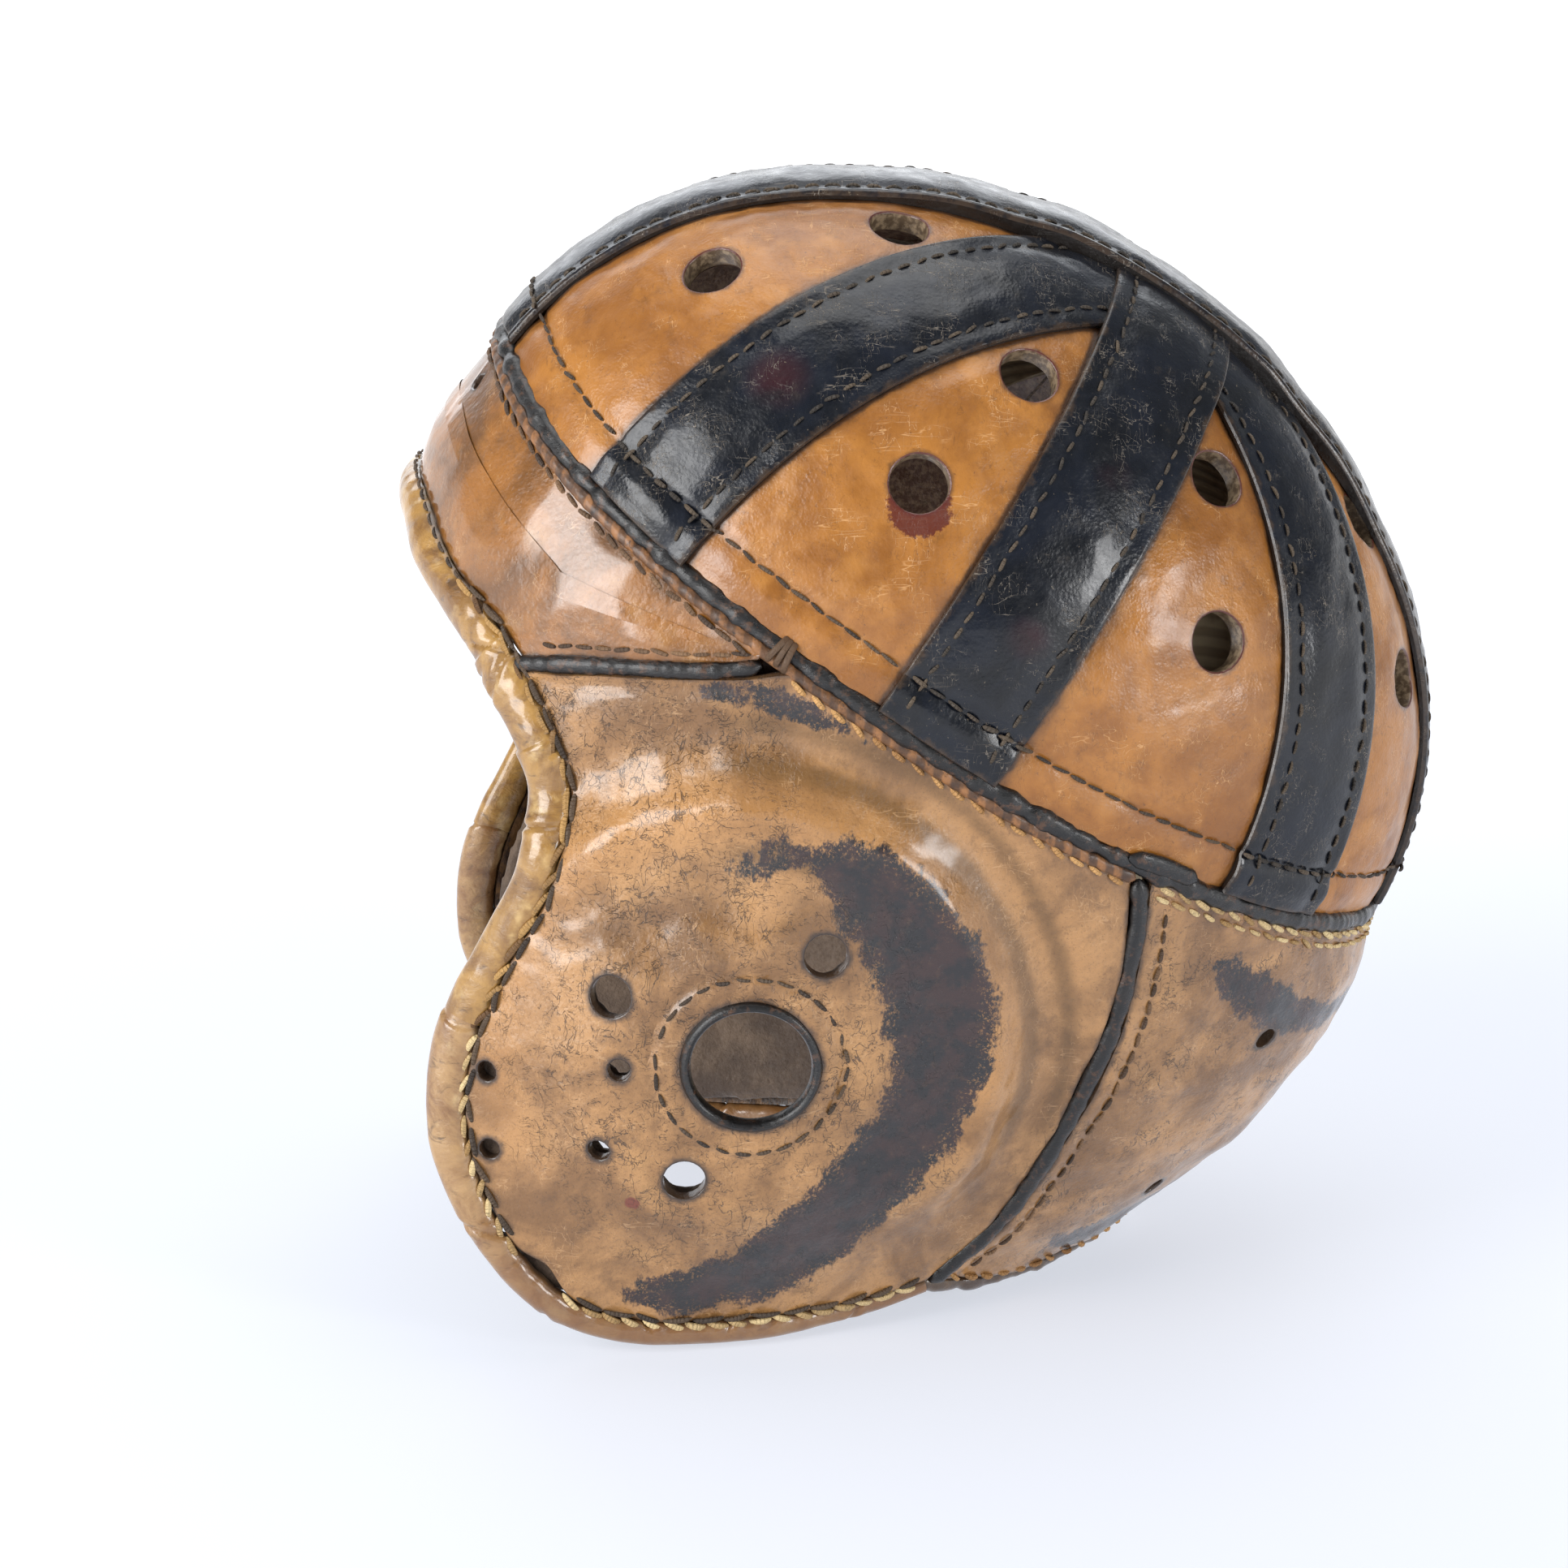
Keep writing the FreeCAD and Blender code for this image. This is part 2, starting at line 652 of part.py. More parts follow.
EAR = (94.3, -78.3)
FLAP_HOLES = [(EAR, "ear_hole_radius")]
FLAP_HOLES += [(place, "flap_vent_radius") for place in ((76.8, -82.8), (93.6, -48.7),
                                                         (96.4, -108.5))]
FLAP_HOLES += [(place, "flap_hole_radius") for place in ((82.4, -95.1), (86.0, -113.4))]
flap_bits = [punch(f"flap_hole_bit_{count}", place, radius)
             for count, (place, radius) in enumerate(FLAP_HOLES, start=1)]
CHIN_Y = CENTRE_Y - 94.3
chin_bits = []
for count, way in enumerate((-1, 1), start=1):
    bit = doc.addObject("Part::Cylinder", f"chin_hole_bit_{count}")
    bit.setExpression("Radius", "Dimensions.chin_hole_radius")
    bit.Height = 50
    bit.Placement = FreeCAD.Placement(Vector(50, CHIN_Y, 0),
                                      FreeCAD.Rotation(Vector(0, 0, 1), Vector(1, 0, 0)))
    bit.setExpression("Placement.Base.z", "Dimensions.chin_hole_middle"
                      f" + {way} * Dimensions.chin_hole_spacing / 2")
    chin_bits.append(bit)

whole_flap = common(side_leather, flap_zone, "flap_leather_blank")
name(drilled(whole_flap, flap_bits + chin_bits, "flap_leather"), "ear_flap_left")
mirrored(nodes[-1][1], "ear_flap_right")
name(cut(side_leather, fixed_zone, "side_panel_cut"), "side_panel_left")
mirrored(nodes[-1][1], "side_panel_right")

whole_pad = common(side_felt, felt_zone, "flap_pad_blank")
name(drilled(whole_pad, flap_bits + chin_bits, "flap_pad"), "ear_pad_left")
mirrored(nodes[-1][1], "ear_pad_right")
name(cut(side_felt, fixed_zone, "side_pad_cut"), "side_pad_left")
mirrored(nodes[-1][1], "side_pad_right")

# Black bound rim in the ear hole.
ear_rim = doc.addObject("Part::Torus", "ear_rim")
ear_rim.setExpression("Radius1", "Dimensions.ear_hole_radius - Dimensions.ear_rim_radius"
                      " - Dimensions.lie")
ear_rim.setExpression("Radius2", "Dimensions.ear_rim_radius")
ear_rim.Placement = FreeCAD.Placement(skin(*EAR, -PANEL / 2),
                                      FreeCAD.Rotation(Vector(0, 0, 1), skin_normal(*EAR)))
name(ear_rim, "ear_hole_rim_left")
mirrored(ear_rim, "ear_hole_rim_right")


# Neck: one piece from seam to seam.
def height_at(angle, level):
    """Height on the skin where it reaches a level over the table."""
    above, below = 0.0, -155.0
    for _ in range(40):
        middle = (above + below) / 2
        if skin_at(angle, middle).z > level:
            above = middle
        else:
            below = middle
    return above


NECK_LEVEL = [(136, 8.8), (145, 5.4), (152, 4.7), (160, 5.4), (170, 6.6), (180, 7.4)]
start = NECK_SEAM[-1][0] + SEAM_TURN
start_top = (NECK_SEAM[0][0] + SEAM_TURN, wall_top(NECK_SEAM[0][0] + SEAM_TURN))
neck_left = flat_spline([start_top] + [(a + SEAM_TURN, h) for a, h in NECK_SEAM[2:-1]]
                        + [(start, height_at(start, height_on(NECK_LEVEL, start)))], 21)
neck_right = [(360 - a, h) for a, h in neck_left]


def neck_rise(angle):
    return height_at(angle, height_on(NECK_LEVEL, min(angle, 360 - angle)))


neck_top = [(a, wall_top(a)) for a in steps(start_top[0], 360 - start_top[0], 31)]
neck_base = [(a, neck_rise(a)) for a in steps(start, 360 - start, 31)]
NECK_VENTS = [(146.9, -20.6), (156.6, -66.6)]


def neck_sheet(label, outs, radius):
    low, high = neck_base, neck_top
    left, right = list(reversed(neck_left)), list(reversed(neck_right))
    blank = piece(label + "_blank", sheet_between(low, high, left, right, outs, False))
    bits = []
    for count, (angle, height) in enumerate(NECK_VENTS, start=1):
        for turn in (angle, 360 - angle):
            bits.append(punch(f"{label}_bit_{count}_{round(turn)}", (turn, height), radius))
    return drilled(blank, bits, label)


name(neck_sheet("neck_leather", (0.0, -PANEL), "flap_hole_radius"), "neck_panel")
name(neck_sheet("neck_felt", (FELT_TOP, FELT_BASE), "flap_hole_radius"), "neck_pad")

span = steps(-58, 58, 29)
low = [(a, brow_edge(a) + 3.0 + 4.0 * smooth((abs(a) - 40) / 6)) for a in span]
high = [(a, wall_top(a) - 2.0) for a in span]
left, right = straight(low[0], high[0], 7), straight(low[-1], high[-1], 7)
name(piece("forehead_felt", sheet_between(low, high, left, right, (FELT_TOP, FELT_BASE), False)),
     "forehead_pad")

# Piping in the temple and neck seams.
for label, seam in (("temple", TEMPLE_SEAM), ("neck", NECK_SEAM)):
    path = [skin(a, h, -0.6) for a, h in flat_spline(seam, 15)]
    name(piping(f"{label}_welt_cord", path, "welt_radius"), f"{label}_welt_left")
    mirrored(nodes[-1][1], f"{label}_welt_right")
path = [skin(a, neck_rise(a) - size("edge_radius") - 0.4, -PANEL / 2)
        for a in steps(start + 0.8, 360 - start - 0.8, 31)]
sections = []
for before, here, after in zip(path[:1] + path, path, path[1:] + path[-1:]):
    sideways = (after - before).cross(Vector(0, 0, 1))
    sideways.normalize()
    upright = sideways.cross(after - before)
    upright.normalize()
    sections.append((here, sideways * size("edge_radius"),
                     upright * size("edge_radius") * 0.999))
name(piece("neck_edge_roll", tube(sections)), "neck_edge")

# Padded leather binding round the brow and down both ear flaps.
# Along it from brow to jaw: how far, half width, half thickness.
BINDING = [(0, 4.9, 3.3), (0.30, 4.8, 3.2), (0.62, 4.4, 3.1), (0.78, 2.9, 2.9), (1, 2.4, 2.4)]
edge_line = flat_spline(BROW_LINE + CHEEK_LINE[1:] + JAW_LINE[1:], 61)
edge_line[0] = (0, edge_line[0][1])
points = [skin(a, h) for a, h in edge_line]
sections = []
for k, (angle, height) in enumerate(edge_line):
    ahead = points[min(k + 1, len(points) - 1)] - points[max(k - 1, 0)]
    if k == 0:
        ahead = Vector(1, 0, 0)
    normal = skin_normal(angle, height)
    if k == 0:
        normal.x = 0
    beyond = ahead.cross(normal)
    beyond.normalize()
    t = k / (len(points) - 1)
    wide, thick = (height_on([(r[0], r[i]) for r in BINDING], t) for i in (1, 2))
    centre = points[k] + beyond * (wide + 0.25) - normal * 1.0
    sections.append((centre, beyond * wide, normal * thick * 0.999))
binding = piece("edge_binding_blank", tube(sections))
fixed = cut(binding, fixed_zone, "fixed_binding")
moving = common(binding, flap_zone, "flap_binding")


def between_levels(base, low, high, label):
    """The part of a piece on the wearer's left between two levels."""
    zone = doc.addObject("Part::Box", label + "_zone")
    zone.Length, zone.Width, zone.Height = 120, 220, high - low
    zone.Placement.Base = Vector(-10, -150, low)
    return common(base, zone, label)


SPLICE = CENTRE_Z - 64.0
name(joined(between_levels(fixed, 60, 260, "brow_binding_half"), "brow_binding"),
     "brow_binding")
for label, base, low, high in (("cheek_binding", moving, SPLICE + 0.1, 140),
                               ("jaw_binding", moving, -20, SPLICE - 0.1),
                               ("rear_binding", fixed, -20, 60)):
    name(between_levels(base, low, high, label + "_cut"), label + "_left")
    mirrored(nodes[-1][1], label + "_right")


# --------------------------------------------------------------------- lining
def band_ring(top, base, outs):
    """Closed band inside the walls, between two heights."""
    faces = []
    for side in (1, -1):
        grids = []
        for out in outs:
            grid = []
            for angle in steps(0, 180, 31):
                line = [skin(angle, h, out) for h in steps(base(angle), top(angle), 5)]
                for point in line:
                    point.x = 0.0 if angle in (0, 180) else side * point.x
                grid.append(line)
            grids.append(grid)
        outer, inner = face_on(grids[0]), face_on(grids[1])
        edges = list(zip(rims(outer), rims(inner)))
        faces += [outer, inner] + [Part.makeRuledSurface(*edges[k]) for k in (2, 3)]
    return sewn(faces)


BAND_TOP = FELT_BASE - 0.8
name(piece("sweatband_leather", band_ring(lambda a: -3.0, lambda a: -23.0,
                                          (BAND_TOP, BAND_TOP - 1.4))), "sweatband")

# Cotton webbing over the head, crossing under the crown.
WEB = size("web_width") / 2


def web(azimuth, drop):
    """Webbing hung from the rim at one angle to the rim opposite."""
    turn = math.radians(azimuth)
    heading = (-math.cos(turn), math.sin(turn))
    start, end = 0.10, math.pi - 0.10
    if azimuth == 0:
        start, end = 0.16, math.pi - 0.19

    def way(t, across):
        up = start + (end - start) * t
        scale = (math.sin(up) ** POWER + abs(math.cos(up)) ** POWER) ** (-1 / POWER)
        return (heading[0] * math.cos(up) * scale - heading[1] * across / LENGTH,
                heading[1] * math.cos(up) * scale + heading[0] * across / WIDTH,
                math.sin(up) * scale)

    rows, columns = steps(0, 1, 25), steps(-WEB, WEB, 5)
    low, high = ([way(t, x) for t in rows] for x in (-WEB, WEB))
    left, right = ([way(t, x) for x in columns] for t in (0, 1))
    hang = SHELL_BASE - 0.3
    return sheet_between(low, high, left, right, (hang, hang - 1.2), True,
                         lambda u, v: -(9.0 + drop) * smooth((0.5 - abs(u - 0.5)) / 0.22))


for azimuth, drop, label in ((0, 0.0, "web_brow_to_nape"), (60, 1.5, "web_left_front"),
                             (120, 3.0, "web_left_rear")):
    name(piece(label + "_strip", web(azimuth, drop)), label)

# --------------------------------------------------------------- check, export
doc.recompute()
problems = [made.Label for made in doc.Objects
            if "Invalid" in made.State or "Error" in made.State]
for label, made in nodes:
    if made.Shape.isNull() or not made.Shape.isValid():
        problems.append(label)
if problems:
    raise SystemExit("not sound: " + ", ".join(problems))
for label, made in nodes:
    made.Label = label
    made.Shape.exportStep(f"parts/{label}.step")
print(len(nodes), "pieces")
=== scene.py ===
"""Looks of the leather football helmet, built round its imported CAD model.

The CAD surface is repeated here in millimetres, in the row frame: +Z up, the brow
faces -Y, the wearer's left is +X. A place on the walls is an angle (0 at the brow, 90
at the wearer's left, 180 at the nape) and a height above the crown's base plane; a
place on the crown is a direction from the middle of that plane.
"""
import bpy
import math
import numpy as np
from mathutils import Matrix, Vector


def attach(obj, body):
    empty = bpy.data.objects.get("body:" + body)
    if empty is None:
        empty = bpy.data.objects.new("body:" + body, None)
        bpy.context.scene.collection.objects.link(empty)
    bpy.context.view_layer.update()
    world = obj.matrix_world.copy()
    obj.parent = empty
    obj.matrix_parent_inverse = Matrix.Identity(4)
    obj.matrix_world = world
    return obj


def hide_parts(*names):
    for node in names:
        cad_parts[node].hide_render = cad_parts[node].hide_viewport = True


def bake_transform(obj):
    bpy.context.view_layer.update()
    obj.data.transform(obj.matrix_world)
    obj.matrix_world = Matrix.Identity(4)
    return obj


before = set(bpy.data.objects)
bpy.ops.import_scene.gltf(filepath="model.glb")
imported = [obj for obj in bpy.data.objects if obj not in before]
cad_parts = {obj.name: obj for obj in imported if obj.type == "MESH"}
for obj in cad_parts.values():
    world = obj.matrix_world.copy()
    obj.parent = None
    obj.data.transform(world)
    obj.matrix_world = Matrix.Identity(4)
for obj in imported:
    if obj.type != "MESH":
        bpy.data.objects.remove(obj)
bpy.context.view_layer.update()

# ------------------------------------------------------------ moulded surface
TILT = math.radians(34.6)
CENTRE_Y, CENTRE_Z = -1.0, 140.6
LENGTH, SKEW, WIDTH, RISE, POWER = 118.6, 1.9, 85.0, 97.6, 2.13
WALL_HEIGHTS = np.array([0, -14, -30, -45, -60, -90, -125, -160.0])
WALL_LENGTH = np.array([LENGTH, 119.2, 119.0, 116.5, 114.0, 109.5, 101.0, 96.0])
WALL_SKEW = np.array([SKEW, 1.2, 4.0, 8.0, 10.5, 7.0, 7.0, 5.0])
WALL_WIDTH = np.array([WIDTH, 85.2, 84.8, 84.0, 83.0, 80.5, 77.5, 74.0])
NAPE_HEIGHTS = np.array([14, 4, -6, -25, -49, -77, -105, -160.0])
NAPE_REACH = np.array([119.4, 124.2, 127.8, 129.4, 127.6, 119.0, 110.0, 100.0])
EAR_Y, EAR_Z = CENTRE_Y - 38.7, CENTRE_Z - 69.4
CUP_OUT, CUP_REACH, CUP_SLOPE = 7.0, 62, 34
PANEL, STRAP, LIE = 3.0, 1.5, 0.05
GORE_AND_SHELL = 4.3


def smooth(value):
    value = np.clip(value, 0.0, 1.0)
    return value * value * (3 - 2 * value)


def bump_at(value, middle, width):
    return np.exp(-((value - middle) / width) ** 2)


def profile(heights, values, height):
    """Smooth curve through values given at falling heights."""
    height = np.clip(height, heights[-1], heights[0])
    last = len(heights) - 1
    low = np.clip(np.searchsorted(-heights, -height, side="right") - 1, 0, last - 1)
    slope = np.zeros(last + 1)
    slope[1:last] = (values[2:] - values[:-2]) / (heights[2:] - heights[:-2])
    slope[last] = (values[last] - values[last - 1]) / (heights[last] - heights[last - 1])
    step = heights[low + 1] - heights[low]
    t = (height - heights[low]) / step
    return ((2 * t ** 3 - 3 * t * t + 1) * values[low]
            + (t ** 3 - 2 * t * t + t) * step * slope[low]
            + (3 * t * t - 2 * t ** 3) * values[low + 1]
            + (t ** 3 - t * t) * step * slope[low + 1])


def row_frame(along, across, height):
    return np.stack([across + 0 * along,
                     CENTRE_Y + along * math.cos(TILT) + height * math.sin(TILT),
                     CENTRE_Z - along * math.sin(TILT) + height * math.cos(TILT)], -1)


def skin_at(angle, height):
    """Point of the outer leather surface."""
    turn = np.radians(angle)
    under = np.minimum(height, 0)
    reach = np.where(height >= 0, (1 - np.clip(height / RISE, 0, 1) ** POWER) ** (1 / POWER), 1)
    length = profile(WALL_HEIGHTS, WALL_LENGTH, under)
    skew = profile(WALL_HEIGHTS, WALL_SKEW, under)
    width = profile(WALL_HEIGHTS, WALL_WIDTH, under)
    back = -np.cos(turn) * reach
    along = length * back + skew * back * back
    swell = smooth((-np.cos(turn) - 0.4) / 0.6)
    swell = swell * (profile(NAPE_HEIGHTS, NAPE_REACH, height) - (length + skew * reach) * reach)
    along = along + np.where(height < 14, swell, 0)
    point = row_frame(along, width * np.sin(turn) * reach, height)
    away = np.hypot(point[..., 1] - EAR_Y, 0.95 * (point[..., 2] - EAR_Z))
    cup = CUP_OUT * smooth((CUP_REACH - away) / CUP_SLOPE)
    cup = cup * np.clip((np.abs(point[..., 0]) - 40) / 20, 0, 1)
    point[..., 0] += np.where(height < 20, np.sign(point[..., 0]) * cup, 0)
    return point


def unit(vectors):
    return vectors / np.maximum(np.linalg.norm(vectors, axis=-1, keepdims=True), 1e-9)


def skin_normal(angle, height):
    across = skin_at(angle + 0.06, height) - skin_at(angle - 0.06, height)
    up = skin_at(angle, height + 0.05) - skin_at(angle, height - 0.05)
    return unit(np.cross(across, up))


def relief(point):
    """Moulded detail of the ear cup that the CAD surface leaves out."""
    y, z = point[..., 1] - EAR_Y, point[..., 2] - EAR_Z
    away = np.hypot(y, 0.95 * z)
    facing = np.degrees(np.arctan2(z, y))
    upper = smooth((facing + 62) / 30) * smooth((150 - facing) / 30)
    ridge = 3.2 * bump_at(away, 53, 5.5) - 2.6 * bump_at(away, 67, 6.5)
    hollow = -2.1 * bump_at(away, 34, 9)
    pressed = -0.6 * bump_at(away, 20.7, 1.0) + 0.6 * bump_at(away, 18.2, 1.6)
    side = np.clip((np.abs(point[..., 0]) - 55) / 12, 0, 1)
    return side * ((ridge + hollow) * upper + pressed)


def wall(place, out=0.0):
    """Point of the walls at an angle and a height, moved out along the normal."""
    place = np.asarray(place, float)
    angle, height = place[..., 0], place[..., 1]
    point = skin_at(angle, height)
    rise = out + relief(point)
    return point + skin_normal(angle, height) * rise[..., None]


def crown(way, out=0.0):
    """Point of the crown in a direction, moved out along its normal."""
    way = unit(np.asarray(way, float))
    back, side, up = way[..., 0], way[..., 1], way[..., 2]
    flat = np.maximum(1e-9, np.hypot(back, side))
    scale = (np.abs(up) ** POWER + flat ** POWER) ** (-1 / POWER)
    back, side, up, flat = back * scale, side * scale, up * scale, flat * scale
    normal = unit(np.stack([flat ** (POWER - 2) * side / WIDTH,
                            flat ** (POWER - 2) * back / (LENGTH + 2 * SKEW * back),
                            np.abs(up) ** (POWER - 1) / RISE], -1))
    return row_frame(LENGTH * back + SKEW * back * back + out * normal[..., 1],
                     WIDTH * side + out * normal[..., 0], RISE * up + out * normal[..., 2])


def crown_way(angle, height):
    turn = np.radians(angle)
    reach = (1 - (height / RISE) ** POWER) ** (1 / POWER)
    return np.stack([-np.cos(turn) * reach, np.sin(turn) * reach, height / RISE + 0 * turn], -1)


def plan_way(along, across):
    back = along / LENGTH
    for _ in range(5):
        back = (along - SKEW * back * back) / LENGTH
    side = across / WIDTH
    return np.array([back, side, (1 - math.hypot(back, side) ** POWER) ** (1 / POWER)])


def rim(angle):
    front = np.cos(np.radians(angle))
    return 2.0 + np.where(front > 0, 9 * front ** 6, 12 * front * front)


def wall_top(angle):
    """Middle of the seam below the crown's piping."""
    return rim(angle) - 4.8


def through(places, count):
    """Evenly spaced places on a natural cubic spline through places."""
    places = np.asarray(places, float)
    gaps = np.linalg.norm(np.diff(places, axis=0), axis=1)
    knots = np.concatenate([[0], np.cumsum(gaps)])
    many = len(places)
    matrix, right = np.eye(many), np.zeros_like(places)
    for k in range(1, many - 1):
        matrix[k, k - 1:k + 2] = gaps[k - 1], 2 * (gaps[k - 1] + gaps[k]), gaps[k]
        right[k] = 6 * ((places[k + 1] - places[k]) / gaps[k]
                        - (places[k] - places[k - 1]) / gaps[k - 1])
    bend = np.linalg.solve(matrix, right)
    t = np.linspace(0, knots[-1], count)
    k = np.clip(np.searchsorted(knots, t, side="right") - 1, 0, many - 2)
    gap, a = gaps[k, None], (t - knots[k])[:, None]
    b = gap - a
    return (bend[k] * b ** 3 / (6 * gap) + bend[k + 1] * a ** 3 / (6 * gap)
            + (places[k] / gap - bend[k] * gap / 6) * b
            + (places[k + 1] / gap - bend[k + 1] * gap / 6) * a)


def ripple(points, size, seed):
    """Soft random waves of about a size, mostly from -1 to 1."""
    waves = 14
    chance = np.random.default_rng(seed)
    total = 0
    for _ in range(waves):
        heading = unit(chance.normal(size=3)) * (2 * math.pi / size) * chance.uniform(0.6, 1.5)
        total = total + np.sin(points @ heading + chance.uniform(0, 6.3))
    return total / math.sqrt(waves)


# ----------------------------------------------------------------- mesh maker
class Sheet:
    """Points, faces and marks on the way to becoming a mesh."""

    def __init__(self):
        self.points = np.zeros((0, 3))
        self.faces = []
        self.marks = {}

    def add(self, points, faces, **marks):
        start, many = len(self.points), len(points)
        self.points = np.vstack([self.points, points])
        self.faces += [[v + start for v in face] for face in faces]
        for label in set(self.marks) | set(marks):
            old = self.marks.get(label, np.zeros(start))
            new = marks.get(label, 0.0)
            self.marks[label] = np.concatenate([old, np.broadcast_to(new, (many,))])

    def mirrored(self):
        twin = Sheet()
        twin.points = self.points * [-1, 1, 1]
        twin.faces = [face[::-1] for face in self.faces]
        twin.marks = dict(self.marks)
        return twin

    def hole(self, centre, way, radius):
        """Cuts a round hole through and gives the ring of its edge, in order."""
        way = unit(way)
        offset = self.points - centre
        depth = offset @ way
        flat = offset - depth[:, None] * way
        away = np.linalg.norm(flat, axis=1)
        inside = (away < radius) & (np.abs(depth) < 10)
        kept, made, ring = [], {}, []
        for face in self.faces:
            count = sum(bool(inside[v]) for v in face)
            if count == 0:
                kept.append(face)
            if count in (0, len(face)):
                continue
            clipped = []
            for a, b in zip(face, face[1:] + face[:1]):
                if not inside[a]:
                    clipped.append(a)
                if inside[a] != inside[b]:
                    key = (min(a, b), max(a, b))
                    if key not in made:
                        made[key] = len(self.points) + len(ring)
                        t = (radius - away[key[0]]) / (away[key[1]] - away[key[0]])
                        spot = flat[key[0]] * (1 - t) + flat[key[1]] * t
                        level = depth[key[0]] * (1 - t) + depth[key[1]] * t
                        ring.append((centre + spot * radius / np.linalg.norm(spot) + way * level,
                                     key[0]))
                    clipped.append(made[key])
            kept.append(clipped)
        if not ring:
            return np.zeros(0, int)
        start = len(self.points)
        self.points = np.vstack([self.points, [r[0] for r in ring]])
        for label, values in self.marks.items():
            self.marks[label] = np.concatenate([values, values[[r[1] for r in ring]]])
        self.faces = kept
        side = unit(np.cross(way, [0.3, 0.1, 0.9]))
        flat = self.points[start:] - centre
        turn = np.arctan2(flat @ np.cross(way, side), flat @ side)
        return start + np.argsort(turn)


def grid_faces(many_i, many_j, wrap_j=False, flip=False):
    """Four-sided faces of a grid, which may close on itself along its second way."""
    faces = []
    for i in range(many_i - 1):
        for j in range(many_j - (not wrap_j)):
            after = (j + 1) % many_j
            a, b = i * many_j + j, (i + 1) * many_j + j
            c, d = (i + 1) * many_j + after, i * many_j + after
            faces.append([a, d, c, b] if flip else [a, b, c, d])
    return faces


def linked(label, sheet, scale=0.001):
    """A new object in the scene with a sheet's points and faces."""
    mesh = bpy.data.meshes.new(label)
    mesh.from_pydata((sheet.points * scale).tolist(), [], sheet.faces)
    made = bpy.data.objects.new(label, mesh)
    bpy.context.scene.collection.objects.link(made)
    return made


def make(label, sheet, material, body="helmet", stands_for=(), slot=None, sharp=38, fill=None):
    """The finished piece, riding on its body, with its marks as attributes."""
    made = linked(label, sheet)
    mesh = made.data
    mesh.polygons.foreach_set("use_smooth", [True] * len(mesh.polygons))
    if sharp:
        mesh.set_sharp_from_angle(angle=math.radians(sharp))
    place = mesh.attributes.new("place", "FLOAT_VECTOR", "POINT")
    place.data.foreach_set("vector", (sheet.points * 0.1).astype(np.float32).ravel())
    for mark, values in sheet.marks.items():
        field = mesh.attributes.new(mark, "FLOAT", "POINT")
        field.data.foreach_set("value", np.asarray(values, np.float32))
    mesh.materials.append(material)
    finish_piece(made, body, stands_for)


def finish_piece(made, body, stands_for):
    if body in ("left_ear_flap", "right_ear_flap"):
        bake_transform(made)
    else:
        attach(made, body)
    if stands_for:
        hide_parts(*stands_for)


def both(label, sheet, material, body="helmet", stands_for=(), **more):
    """The wearer's left piece and its mirror image."""
    for side, form in (("left", sheet), ("right", sheet.mirrored())):
        rides = f"{side}_{body}" if body == "ear_flap" else body
        make(f"{label}_{side}", form, material, rides,
             [node.replace("SIDE", side) for node in stands_for], **more)


def spaced(length, step, fine=(0.3, 0.8, 1.6)):
    """Fractions from 0 to 1, closer together at both ends."""
    ends = [f / length for f in fine]
    many = max(2, int(round((length - 2 * fine[-1]) / step)))
    middle = np.linspace(ends[-1], 1 - ends[-1], many + 1)
    return np.concatenate([[0], ends[:-1], middle, [1 - e for e in ends[:-1][::-1]], [1]])


def at(border, t):
    """Places at fractions of a border given as evenly spaced places."""
    border = np.asarray(border, float)
    spots = np.linspace(0, 1, len(border))
    return np.stack([np.interp(t, spots, border[:, k]) for k in range(border.shape[1])], -1)


def between(low, high, left, right, step, surface):
    """Grid of places inside four borders, about a step apart on the surface."""
    def long(border):
        return np.linalg.norm(np.diff(surface(np.asarray(border, float)), axis=0), axis=1).sum()

    u = spaced(max(long(low), long(high)), step)
    v = spaced(max(long(left), long(right)), step)
    low, high, left, right = at(low, u), at(high, u), at(left, v), at(right, v)
    u, v = u[:, None, None], v[None, :, None]
    return ((1 - v) * low[:, None] + v * high[:, None] + (1 - u) * left[None] + u * right[None]
            - ((1 - u) * (1 - v) * low[0] + u * (1 - v) * low[-1]
               + (1 - u) * v * high[0] + u * v * high[-1]))


